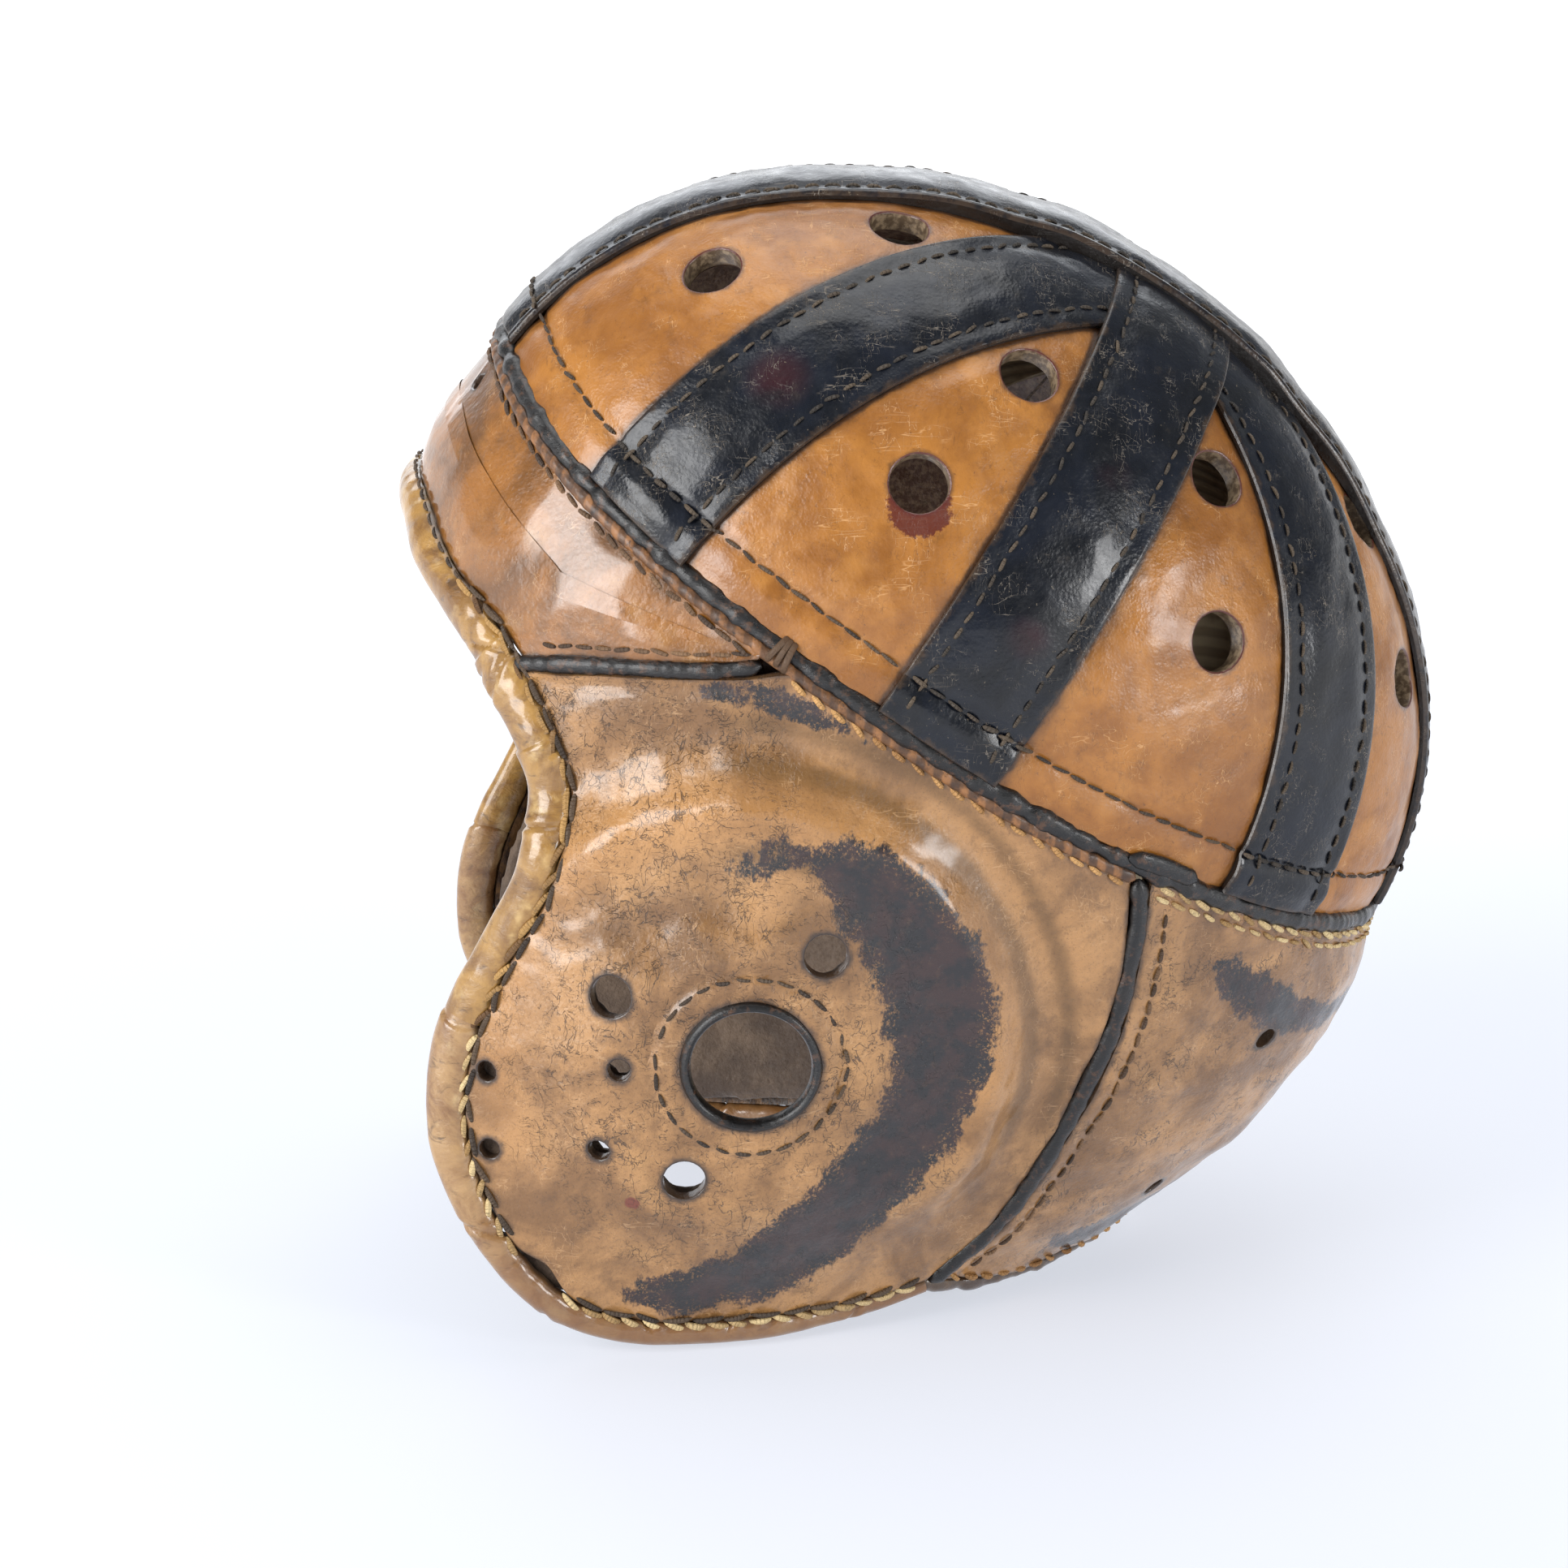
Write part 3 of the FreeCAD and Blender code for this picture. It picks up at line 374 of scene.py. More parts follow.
def leather(surface, places, top, thick, lift, round_off=0.8, holes=(), marks=None):
    """A piece of leather with rounded edges, cut holes and a flat back.

    The lift is added to its outer face. It is worked out from the points without it, the
    distance to the nearest edge, and the distances from the first edge of either way.
    """
    flat = surface(places)
    steps_i = np.linalg.norm(np.diff(flat, axis=0), axis=2)
    steps_j = np.linalg.norm(np.diff(flat, axis=1), axis=2)
    run_i = np.concatenate([np.zeros((1, flat.shape[1])), np.cumsum(steps_i, 0)])
    run_j = np.concatenate([np.zeros((flat.shape[0], 1)), np.cumsum(steps_j, 1)], 1)
    edge = np.minimum(np.minimum(run_i, run_i[-1:] - run_i), np.minimum(run_j, run_j[:, -1:] - run_j))
    near = np.clip(1 - edge / round_off, 0, 1)
    rise = top - round_off * (1 - np.sqrt(1 - near ** 2)) + lift(flat, edge, run_i, run_j)
    outer = surface(places, rise)
    inner = surface(places, np.full_like(rise, top - thick))
    many_i, many_j = flat.shape[:2]
    a, b, c = outer[0, 0], outer[1, 0], outer[0, 1]
    facing = surface(places[:1, :1], 1.0)[0, 0] - flat[0, 0]
    flip = float(np.cross(b - a, c - a) @ facing) < 0
    sheet = Sheet()
    extra = marks(outer) if marks else {}
    extra = {label: values.ravel() for label, values in extra.items()}
    sheet.add(outer.reshape(-1, 3), grid_faces(many_i, many_j, flip=flip), edge=edge.ravel(),
              **extra)
    rings = [sheet.hole(c, w, r + 0.4) for c, w, r in holes]
    border = ([(i, 0) for i in range(many_i)] + [(many_i - 1, j) for j in range(1, many_j)]
              + [(i, many_j - 1) for i in range(many_i - 2, -1, -1)]
              + [(0, j) for j in range(many_j - 2, 0, -1)])
    rows, columns = [p[0] for p in border], [p[1] for p in border]
    skirt = np.concatenate([outer[rows, columns], inner[rows, columns]])
    sheet.add(skirt, grid_faces(2, len(border), wrap_j=True, flip=not flip), cut=1.0)
    back = Sheet()
    back.add(inner.reshape(-1, 3), grid_faces(many_i, many_j, flip=not flip), cut=0.6, back=1.0,
             edge=9.0)
    for c, w, r in holes:
        back.hole(c, w, r + 0.1)
    sheet.add(back.points, back.faces, **back.marks)
    for (c, w, r), ring in zip(holes, rings):
        if len(ring):
            hole_wall(sheet, ring, c, unit(w), thick)
    if holes:
        away = np.full(len(sheet.points), 9.0)
        for c, w, r in holes:
            offset = sheet.points - c
            offset = offset - (offset @ unit(w))[:, None] * unit(w)
            away = np.minimum(away, np.linalg.norm(offset, axis=1) - r)
        sheet.marks["rim"] = away
    sheet.marks.setdefault("rim", np.full(len(sheet.points), 9.0))
    return sheet


def hole_wall(sheet, ring, centre, way, thick):
    """Rolls the edge of a cut hole over and down to the back of the leather."""
    edge = sheet.points[ring]
    out = edge - centre
    out = unit(out - (out @ way)[:, None] * way)
    rows = [edge]
    for inward, down in ((0.22, 0.06), (0.36, 0.22), (0.42, 0.5), (0.42, thick * 0.6),
                         (0.42, thick)):
        rows.append(edge - out * inward - way * down)
    many = len(ring)
    sheet.add(np.concatenate(rows), grid_faces(len(rows), many, wrap_j=True),
              cut=np.repeat([0, 0.1, 0.5, 1, 1, 1], many), edge=0.2)


def tube(centres, wide, thick, many=20, closed_ends=True, **marks):
    """A roll of oval section along points, given its two half axes as vectors."""
    turn = np.linspace(0, 2 * math.pi, many, endpoint=False)
    rings = (centres[:, None] + wide[:, None] * np.cos(turn)[None, :, None]
             + thick[:, None] * np.sin(turn)[None, :, None])
    sheet = Sheet()
    flat = rings.reshape(-1, 3)
    flip = float(np.cross(wide[0], thick[0]) @ (centres[1] - centres[0])) > 0
    faces = grid_faces(len(centres), many, wrap_j=True, flip=flip)
    sheet.add(flat, faces, around=np.tile(turn, len(centres)), **marks)
    if closed_ends:
        for row, order in ((0, 1), (len(centres) - 1, -1)):
            face = [row * many + k for k in range(many)]
            sheet.faces.append(face[::order] if flip else face[::-order])
    return sheet


def frames(path, normals):
    """Ahead, sideways and outward unit vectors along a path."""
    ahead = unit(np.gradient(path, axis=0))
    side = unit(np.cross(ahead, normals))
    return ahead, side, unit(np.cross(side, ahead))


def run_along(path):
    return np.concatenate([[0], np.cumsum(np.linalg.norm(np.diff(path, axis=0), axis=1))])


def evenly(path, normals, step):
    """The path resampled at even steps, with its normals and run lengths."""
    run = run_along(path)
    want = np.linspace(0, run[-1], max(3, int(run[-1] / step) + 1))
    path = np.stack([np.interp(want, run, path[:, k]) for k in range(3)], -1)
    normals = np.stack([np.interp(want, run, normals[:, k]) for k in range(3)], -1)
    return path, unit(normals), want


STITCH_SIDES = 7


def stitches(path, normals, long, gap, radius, seed, slant=0.0, sink=0.5, skip=(), loose=0.12,
             where=None):
    """A row of thread stitches lying on a surface."""
    chance = np.random.default_rng(seed)
    many = len(path)
    path, normals, run = evenly(np.asarray(path), np.asarray(normals), 0.5)
    shown = np.ones(len(run))
    if where is not None:
        shown = np.interp(np.linspace(0, 1, len(run)), np.linspace(0, 1, many), where * 1.0)
    ahead, side, up = frames(path, normals)
    starts = np.arange(abs(gap), run[-1] - long * 0.6, long + gap)
    starts = starts + chance.normal(0, abs(gap) * 0.12, len(starts))
    middle = starts + long / 2
    for low, high in skip:
        middle = middle[(middle < low) | (middle > high)]
    k = np.clip((middle / run[-1] * (len(run) - 1)).round().astype(int), 0, len(run) - 1)
    k = k[shown[k] > 0.5]
    many = len(k)
    turn = slant + chance.normal(0, loose, many)
    lead = ahead[k] * np.cos(turn)[:, None] + side[k] * np.sin(turn)[:, None]
    cross = np.cross(lead, up[k])
    t = np.array([-1, -0.8, -0.4, 0, 0.4, 0.8, 1.0])
    fat = np.array([0.3, 0.8, 1.0, 1.05, 1.0, 0.8, 0.3])
    lift = radius * (0.55 - (0.55 + sink) * np.abs(t) ** 3)
    rings = len(t)
    each = rings * STITCH_SIDES
    around = np.linspace(0, 2 * math.pi, STITCH_SIDES, endpoint=False)
    half = long / 2 * chance.uniform(0.86, 1.1, many)
    size = radius * chance.uniform(0.85, 1.15, many)
    spine = (path[k][:, None] + lead[:, None] * (half[:, None] * t)[..., None]
             + up[k][:, None] * lift[None, :, None])
    ring = (cross[:, None, None] * np.cos(around)[None, None, :, None]
            + up[k][:, None, None] * np.sin(around)[None, None, :, None] * 0.85)
    points = spine[:, :, None] + ring * (size[:, None] * fat)[..., None, None]
    sheet = Sheet()
    ends = [list(range(STITCH_SIDES))[::-1], list(range(each - STITCH_SIDES, each))]
    faces = grid_faces(rings, STITCH_SIDES, wrap_j=True) + ends
    whole = [[v + each * n for v in face] for n in range(many) for face in faces]
    sheet.add(points.reshape(-1, 3), whole, tone=np.repeat(chance.uniform(0, 1, many), each),
              length=np.tile(np.repeat(t * long / 2, STITCH_SIDES), many))
    return sheet


def laid(path, normals, *sheets):
    """The path moved along its normals onto finished leather."""
    path, normals, _ = evenly(np.asarray(path, float), np.asarray(normals, float), 1.0)
    points = np.concatenate([sheet.points for sheet in sheets])
    margin, aside_most, depth_most = 6, 1.8, 4
    low, high = path.min(axis=0) - margin, path.max(axis=0) + margin
    points = points[np.all((points > low) & (points < high), axis=1)]
    rise = np.zeros(len(path))
    for k, (spot, way) in enumerate(zip(path, normals)):
        offset = points - spot
        depth = offset @ way
        aside = np.linalg.norm(offset - depth[:, None] * way, axis=1)
        near = (aside < aside_most) & (np.abs(depth) < depth_most)
        rise[k] = depth[near].max() if near.any() else np.nan
    known = ~np.isnan(rise)
    if known.any():
        rise = np.interp(np.arange(len(rise)), np.flatnonzero(known), rise[known])
    rise = np.convolve(np.pad(rise, 2, "edge"), np.ones(5) / 5, "valid")
    return path + normals * rise[:, None], normals


def collected(sheets):
    whole = Sheet()
    for sheet in sheets:
        whole.add(sheet.points, sheet.faces, **sheet.marks)
    return whole


def on_wall(places, out=0.0):
    places = np.asarray(places, float)
    normals = skin_normal(places[:, 0], places[:, 1])
    return wall(places, out), normals


def on_crown(ways, out=0.0):
    ways = np.asarray(ways, float)
    return crown(ways, out), unit(crown(ways, 1.0) - crown(ways))


# ------------------------------------------------------------------ materials
def linear(colour):
    """Linear colour from the eight bit numbers of a colour picker."""
    parts = [c / 255 for c in colour]
    return [c / 12.92 if c <= 0.04045 else ((c + 0.055) / 1.055) ** 2.4 for c in parts] + [1.0]


class Finish:
    """Short words for building one material's nodes; places are in centimetres."""

    def __init__(self, label, cad=False):
        self.material = bpy.data.materials.new(label)
        self.material.use_nodes = True
        self.nodes = self.material.node_tree.nodes
        self.links = self.material.node_tree.links
        self.shader = self.nodes["Principled BSDF"]
        if cad:
            metres = self.node("TexCoord", "Object", {})
            self.place = self.node("VectorMath", 0, {0: metres, "Scale": 100}, operation="SCALE")
        else:
            self.place = self.mark("place", "Vector")

    def put(self, node, sockets):
        for socket, value in sockets.items():
            if hasattr(value, "links"):
                self.links.new(value, node.inputs[socket])
            else:
                node.inputs[socket].default_value = value

    def node(self, kind, output, sockets, **settings):
        """An output of a new node with its settings and sockets filled in."""
        made = self.nodes.new("ShaderNode" + kind)
        for setting, value in settings.items():
            setattr(made, setting, value)
        self.put(made, sockets)
        return made.outputs[output]

    def mark(self, label, output="Fac"):
        return self.node("Attribute", output, {}, attribute_name=label)

    def noise(self, scale, detail=4.0, rough=0.55, distort=0.0, stretch=None):
        place = self.place
        if stretch:
            place = self.node("Mapping", 0, {"Vector": place, "Scale": stretch,
                                             "Rotation": (0.5, 0.9, 0.3)})
        return self.node("TexNoise", "Fac", {"Vector": place, "Scale": scale, "Detail": detail,
                                             "Roughness": rough, "Distortion": distort})

    def cells(self, scale):
        return self.node("TexVoronoi", "Distance", {"Vector": self.place, "Scale": scale})

    def reckon(self, operation, a, b=0.0):
        return self.node("Math", 0, {0: a, 1: b}, operation=operation)

    def plus(self, a, b):
        return self.reckon("ADD", a, b)

    def less(self, a, b):
        return self.reckon("SUBTRACT", a, b)

    def times(self, a, b):
        return self.reckon("MULTIPLY", a, b)

    def span(self, value, low, high, to_low=0.0, to_high=1.0):
        """Smooth step of a value between two limits."""
        return self.node("MapRange", 0, {"Value": value, "From Min": low, "From Max": high,
                                         "To Min": to_low, "To Max": to_high},
                         interpolation_type="SMOOTHSTEP")

    def mix(self, share, a, b):
        a, b = (linear(value) if isinstance(value, tuple) else value for value in (a, b))
        return self.node("Mix", 2, {0: share, 6: a, 7: b}, data_type="RGBA")

    def bump(self, height, distance, normal=None):
        """Bump whose height is in millimetres for a value of one."""
        sockets = {"Height": height, "Distance": distance * 0.001, "Strength": 1.0}
        if normal is not None:
            sockets["Normal"] = normal
        return self.node("Bump", 0, sockets)

    def clouds(self, noise, low, high, dark, light):
        """A noise between two colours."""
        return self.mix(self.span(self.noise(*noise), low, high), dark, light)

    def patches(self, colour, *rows):
        """Patches over a colour: each a noise, its two limits, the most it covers, its colour."""
        for noise, low, high, most, tint in rows:
            colour = self.mix(self.span(self.noise(*noise), low, high, 0, most), colour, tint)
        return colour

    def frayed(self, label, noise, fray):
        """A mark with so much of a noise added."""
        return self.plus(self.mark(label), self.times(self.noise(*noise), fray))

    def fringed(self, colour, label, noise, fray, reach, most, tint):
        """A frayed border of another colour where a mark is low."""
        share = self.span(self.frayed(label, noise, fray), *reach, most, 0)
        return self.mix(share, colour, tint)

    def uneven(self, noise, low, high, top=0.75):
        """Roughness that wanders between two values."""
        return self.span(self.noise(*noise), 0.3, top, low, high)

    def thin(self, layers, width, patch):
        """Thin lines where a noise crosses its middle, shown in patches only."""
        lines = None
        for noise, patch_noise in layers:
            field = self.less(self.noise(*noise), 0.5)
            line = self.span(self.reckon("ABSOLUTE", field), 0, width, 1, 0)
            line = self.times(line, self.span(self.noise(*patch_noise), *patch))
            lines = line if lines is None else self.reckon("MAXIMUM", lines, line)
        return lines

    def creases(self, *layers):
        """Fine winding wrinkles: a scale and a stretch for each layer."""
        return self.thin([((scale, 3.0, 0.5, 0.6, stretch), (scale * 0.7, 4.0, 0.7))
                          for scale, stretch in layers], 0.013, (0.46, 0.6))

    def scratches(self, scale, amount):
        """Fine straight scratches in two directions."""
        lines = self.thin([((scale, 2.0, 0.4, 0.0, stretch), (1.1, 2.0, 0.5))
                           for stretch in ((0.25, 3.2, 1.1), (2.6, 0.2, 1.7))], 0.012, (0.5, 0.62))
        return self.times(lines, amount)

    def done(self, colour, rough, normal=None, coat=0.0, coat_rough=0.2, sheen=0.0):
        self.put(self.shader, {"Base Color": colour, "Roughness": rough, "Coat Weight": coat,
                               "Coat Roughness": coat_rough, "Sheen Weight": sheen,
                               "Sheen Roughness": 0.5})
        if normal is not None:
            self.put(self.shader, {"Normal": normal})
        return self.material


def tan_leather():
    f = Finish("tan_leather")
    colour = f.clouds((0.55, 6.0, 0.62, 0.4), 0.34, 0.66, (138, 85, 30), (172, 113, 47))
    colour = f.patches(colour, ((1.7, 5.0, 0.7), 0.54, 0.74, 0.5, (106, 66, 28)),
                       ((0.8, 3.0, 0.5), 0.55, 0.75, 0.45, (190, 132, 66)),
                       ((9.0, 3.0, 0.6), 0.66, 0.74, 0.55, (84, 54, 32)))
    veins = f.creases((1.6, (1.0, 2.2, 1.0)), (3.0, (1.6, 1.0, 1.2)))
    colour = f.mix(f.times(veins, 0.4), colour, (88, 56, 32))
    scratch = f.scratches(2.4, 0.6)
    colour = f.mix(scratch, colour, (212, 162, 108))
    # Painted shade: a thin dark line on the gores along the straps' edges.
    colour = f.fringed(colour, "seam", (2.6, 4.0), -1.6, (-0.6, 0.4), 0.95, (40, 26, 18))
    colour = f.fringed(colour, "seam", (1.4, 4.0), -9.0, (-5.0, -1.5), 0.5, (100, 64, 34))
    ring = f.span(f.frayed("rim", (3.5, 4.0), -2.0), -1.1, 0.5, 0.8, 0)
    colour = f.mix(f.times(ring, f.less(1.0, f.mark("cut"))), colour, (66, 44, 30))
    colour = f.fringed(colour, "stain", (5.0, 5.0, 0.7), -5.5, (-2.6, -1.7), 0.9, (82, 18, 14))
    laminate = f.clouds((7.0, 3.0, 0.6), 0.4, 0.65, (92, 76, 58), (150, 130, 104))
    colour = f.mix(f.times(f.mark("cut"), 0.95), colour, laminate)
    normal = f.bump(f.noise(2.4, 4.0, 0.6), 0.35, f.bump(f.cells(14.0), 0.05))
    normal = f.bump(scratch, -0.06, normal)
    return f.done(colour, f.uneven((2.2, 4.0, 0.6), 0.3, 0.48), normal, 0.3, 0.16)


def black_leather():
    f = Finish("black_leather")
    cloud = f.noise(0.7, 5.0, 0.6, 0.5)
    colour = f.mix(f.span(cloud, 0.35, 0.7), (7, 10, 17), (18, 23, 34))
    smudge = f.times(f.span(f.mark("smudge"), -6, 1, 1, 0), f.span(cloud, 0.3, 0.62))
    colour = f.mix(f.times(smudge, 0.4), colour, (74, 20, 18))
    colour = f.fringed(colour, "edge", (3.0, 5.0, 0.65), -6.2, (-3.4, -1.6), 0.7, (70, 54, 40))
    colour = f.patches(colour, ((1.3, 6.0, 0.7), 0.62, 0.72, 0.35, (58, 50, 42)))
    scratch = f.scratches(3.0, 0.8)
    colour = f.mix(scratch, colour, (122, 112, 100))
    colour = f.patches(colour, ((14.0, 2.0, 0.6), 0.7, 0.76, 0.7, (120, 108, 92)))
    red = f.frayed("red", (7.0, 4.0, 0.7), -2.2)
    colour = f.mix(f.span(red, 0.4, 1.0, 0, 0.8), colour, (124, 34, 26))
    colour = f.mix(f.times(f.mark("cut"), 0.95), colour, (26, 22, 20))
    normal = f.bump(f.noise(1.6, 4.0, 0.6), 0.35, f.bump(f.cells(12.0), 0.04))
    normal = f.bump(scratch, -0.07, normal)
    f.put(f.shader, {"Specular IOR Level": 0.36})
    return f.done(colour, f.uneven((2.6, 5.0, 0.65), 0.24, 0.42), normal, 0.25, 0.11)


def wall_leather(label, gloss, coat_rough, dark, light):
    """Brown leather with cracks, black paint rubbed away in places, soiled seams, dark hole edges,
    dark rings round the ear cup that are partly its own bands and partly painted shade, and a painted
    highlight along the cup's ridge.
    """
    f = Finish(label)
    colour = f.clouds((0.45, 6.0, 0.6, 0.5), 0.36, 0.66, dark, light)
    colour = f.patches(colour, ((1.4, 6.0, 0.7), 0.5, 0.7, 0.5, (92, 62, 34)),
                       ((0.9, 3.0, 0.5), 0.55, 0.78, 0.4, (184, 138, 84)))
    # Dark rings round the ear cup: partly the leather's own bands, partly painted shade by the cup's
    # ridge and hollow.
    bands = f.frayed("rings", (1.3, 4.0, 0.6), 0.5)
    colour = f.mix(f.span(bands, 0.45, 1.2, 0, 0.75), colour, (96, 66, 26))
    # Painted highlight: lighter along the top of the ear cup's ridge.
    colour = f.mix(f.times(f.mark("raised"), 0.5), colour, (190, 136, 76))
    crack = f.creases((1.3, (1.0, 2.4, 1.2)), (2.0, (2.4, 0.9, 1.3)), (3.4, (1.2, 1.0, 2.4)))
    dry = f.times(crack, f.span(f.plus(f.mark("dry"), f.noise(0.9, 3.0)), 0.5, 0.85))
    colour = f.mix(f.times(dry, 0.8), colour, (56, 36, 22))
    colour = f.patches(colour, ((11.0, 4.0, 0.7), 0.52, 0.72, 0.3, (88, 58, 30)),
                       ((24.0, 2.0, 0.6), 0.62, 0.7, 0.4, (70, 46, 26)))
    colour = f.mix(f.scratches(2.0, 0.4), colour, (206, 164, 118))
    flake = f.plus(f.times(f.noise(2.2, 3.0, 0.6), 9.0),
                   f.times(f.noise(8.0, 4.0, 0.75, stretch=(1.0, 1.8, 0.8)), 5.0))
    paint = f.plus(f.mark("paint"), f.less(flake, 7.2))
    bare = f.span(f.noise(13.0, 4.0, 0.75), 0.52, 0.64, 0, 0.85)
    bare = f.times(bare, f.span(paint, -5.0, -0.5))
    covered = f.times(f.span(paint, -0.9, 0.7, 1, 0), f.less(1.0, bare))
    black = f.clouds((1.6, 4.0, 0.6), 0.4, 0.62, (22, 20, 24), (50, 30, 28))
    black = f.patches(black, ((4.5, 5.0, 0.7), 0.54, 0.7, 0.5, (74, 52, 38)))
    colour = f.mix(covered, colour, black)
    plug = f.frayed("plug", (6.0, 4.0), -1.6)
    colour = f.mix(f.span(plug, 0.6, 1.1, 0, 0.9), colour, (112, 46, 28))
    colour = f.fringed(colour, "rim", (3.5, 4.0), -2.2, (-1.1, 0.8), 0.9, (44, 30, 22))
    colour = f.fringed(colour, "seam", (2.2, 5.0), -3.4, (-1.7, 0.4), 0.85, (54, 36, 22))
    colour = f.mix(f.times(f.mark("cut"), 0.75), colour, (74, 54, 38))
    normal = f.bump(dry, -0.2, f.bump(f.cells(10.0), 0.07))
    normal = f.bump(f.noise(1.8, 5.0, 0.6), 0.8, normal)
    normal = f.bump(covered, 0.05, normal)
    return f.done(colour, f.uneven((2.4, 5.0, 0.65), 0.32, 0.52), normal, gloss, coat_rough)


def binding_leather(label, dark, light, pale):
    f = Finish(label)
    colour = f.clouds((0.9, 6.0, 0.62, 0.8), 0.34, 0.66, dark, light)
    folds = f.noise(1.6, 5.0, 0.62, 1.0, (1.0, 1.0, 2.0))
    colour = f.mix(f.span(folds, 0.56, 0.72, 0, 0.7), colour, (66, 42, 18))
    colour = f.patches(colour, ((1.2, 4.0), 0.56, 0.74, 0.7, pale))
    # Painted shade: the binding darker from the low cheek round the jaw.
    colour = f.mix(f.times(f.mark("tone"), 0.75), colour, dark)
    colour = f.fringed(colour, "seam", (3.0, 5.0), -2.6, (-1.6, 0.9), 0.85, (44, 30, 20))
    normal = f.bump(folds, 0.5, f.bump(f.cells(9.0), 0.06))
    return f.done(colour, f.uneven((3.0, 4.0, 0.6), 0.28, 0.5), normal, 0.8, 0.14)


def piping_leather():
    f = Finish("black_piping")
    colour = f.clouds((2.2, 5.0, 0.65), 0.4, 0.7, (9, 9, 10), (26, 22, 20))
    colour = f.patches(colour, ((3.4, 5.0, 0.7), 0.52, 0.66, 0.8, (84, 56, 36)))
    normal = f.bump(f.noise(6.0, 4.0, 0.7, stretch=(1.0, 1.0, 3.0)), 0.25)
    return f.done(colour, f.uneven((4.0, 4.0, 0.6), 0.26, 0.42, 0.7), normal, 0.25, 0.2)


def lip_leather():
    """Brown edge of the wall leather, whipped over with thread, with painted shade in the grooves of
    its twist.
    """
    f = Finish("lip_leather")
    colour = f.clouds((2.0, 5.0, 0.65), 0.36, 0.66, (88, 58, 34), (150, 102, 60))
    # Painted shade in the grooves of the twist.
    colour = f.mix(f.times(f.span(f.mark("tone"), 0.3, 0.7), 0.6), colour, (46, 32, 24))
    colour = f.patches(colour, ((5.0, 4.0, 0.7), 0.56, 0.7, 0.8, (36, 26, 20)))
    return f.done(colour, f.uneven((4.0,), 0.4, 0.6, 0.7), f.bump(f.noise(7.0), 0.3), 0.15)


def thread(label, dark, light):
    f = Finish(label)
    colour = f.patches(f.mix(f.mark("tone"), dark, light),
                       ((9.0, 4.0, 0.7), 0.5, 0.75, 0.6, (58, 44, 32)))
    twist = f.plus(f.times(f.mark("length"), 7.0), f.times(f.noise(6.0), 8.0))
    normal = f.bump(f.reckon("SINE", twist), 0.12)
    return f.done(colour, f.uneven((5.0,), 0.55, 0.75, 0.7), normal)


def felt():
    f = Finish("felt")
    fibre = f.noise(16.0, 5.0, 0.75, stretch=(1.0, 3.0, 1.0))
    colour = f.clouds((0.8, 5.0, 0.6), 0.35, 0.7, (168, 150, 122), (206, 192, 162))
    colour = f.mix(f.span(fibre, 0.5, 0.75, 0, 0.4), colour, (128, 108, 82))
    colour = f.patches(colour, ((1.8, 4.0), 0.58, 0.74, 0.5, (122, 98, 72)))
    return f.done(colour, f.span(fibre, 0.3, 0.7, 0.8, 0.95), f.bump(fibre, 0.5), sheen=0.4)


def suede():
    f = Finish("lining_leather")
    nap = f.noise(12.0, 5.0, 0.7)
    colour = f.clouds((0.6, 5.0, 0.6), 0.35, 0.68, (70, 54, 42), (112, 92, 74))
    colour = f.mix(f.span(nap, 0.5, 0.75, 0, 0.4), colour, (56, 42, 32))
    normal = f.bump(f.noise(1.6, 4.0, 0.6), 1.0, f.bump(nap, 0.2))
    return f.done(colour, f.span(nap, 0.3, 0.7, 0.6, 0.82), normal, sheen=0.25)


def fibre_shell():
    f = Finish("fibre", cad=True)
    layers = f.noise(5.0, 4.0, 0.6, stretch=(0.6, 0.6, 5.0))
    colour = f.mix(f.span(layers, 0.35, 0.7), (78, 62, 48), (128, 108, 88))
    colour = f.patches(colour, ((0.8, 5.0), 0.5, 0.72, 0.6, (56, 42, 32)))
    return f.done(colour, f.span(layers, 0.3, 0.7, 0.5, 0.72), f.bump(layers, 0.25))


def webbing():
    f = Finish("webbing", cad=True)
    across, along = (f.node("SeparateXYZ", axis, {0: f.place}) for axis in (0, 1))
    weave = f.reckon("SINE", f.plus(f.times(across, 26.0), f.times(along, 17.0)))
    colour = f.mix(f.span(weave, -0.6, 0.6), (156, 138, 108), (188, 172, 140))
    colour = f.patches(colour, ((0.9, 4.0), 0.5, 0.72, 0.6, (112, 88, 62)))
    return f.done(colour, f.uneven((4.0,), 0.78, 0.92, 0.7), f.bump(weave, 0.2), sheen=0.2)


def sweat_leather():
    f = Finish("sweatband_leather", cad=True)
    colour = f.clouds((0.6, 6.0, 0.6), 0.35, 0.68, (84, 52, 30), (132, 88, 54))
    colour = f.patches(colour, ((3.0, 5.0, 0.7), 0.52, 0.72, 0.6, (52, 34, 22)))
    normal = f.bump(f.noise(2.2, 4.0, 0.6), 0.8, f.bump(f.cells(9.0), 0.1))
    return f.done(colour, f.uneven((2.0,), 0.36, 0.56, 0.7), normal, 0.2, 0.3)


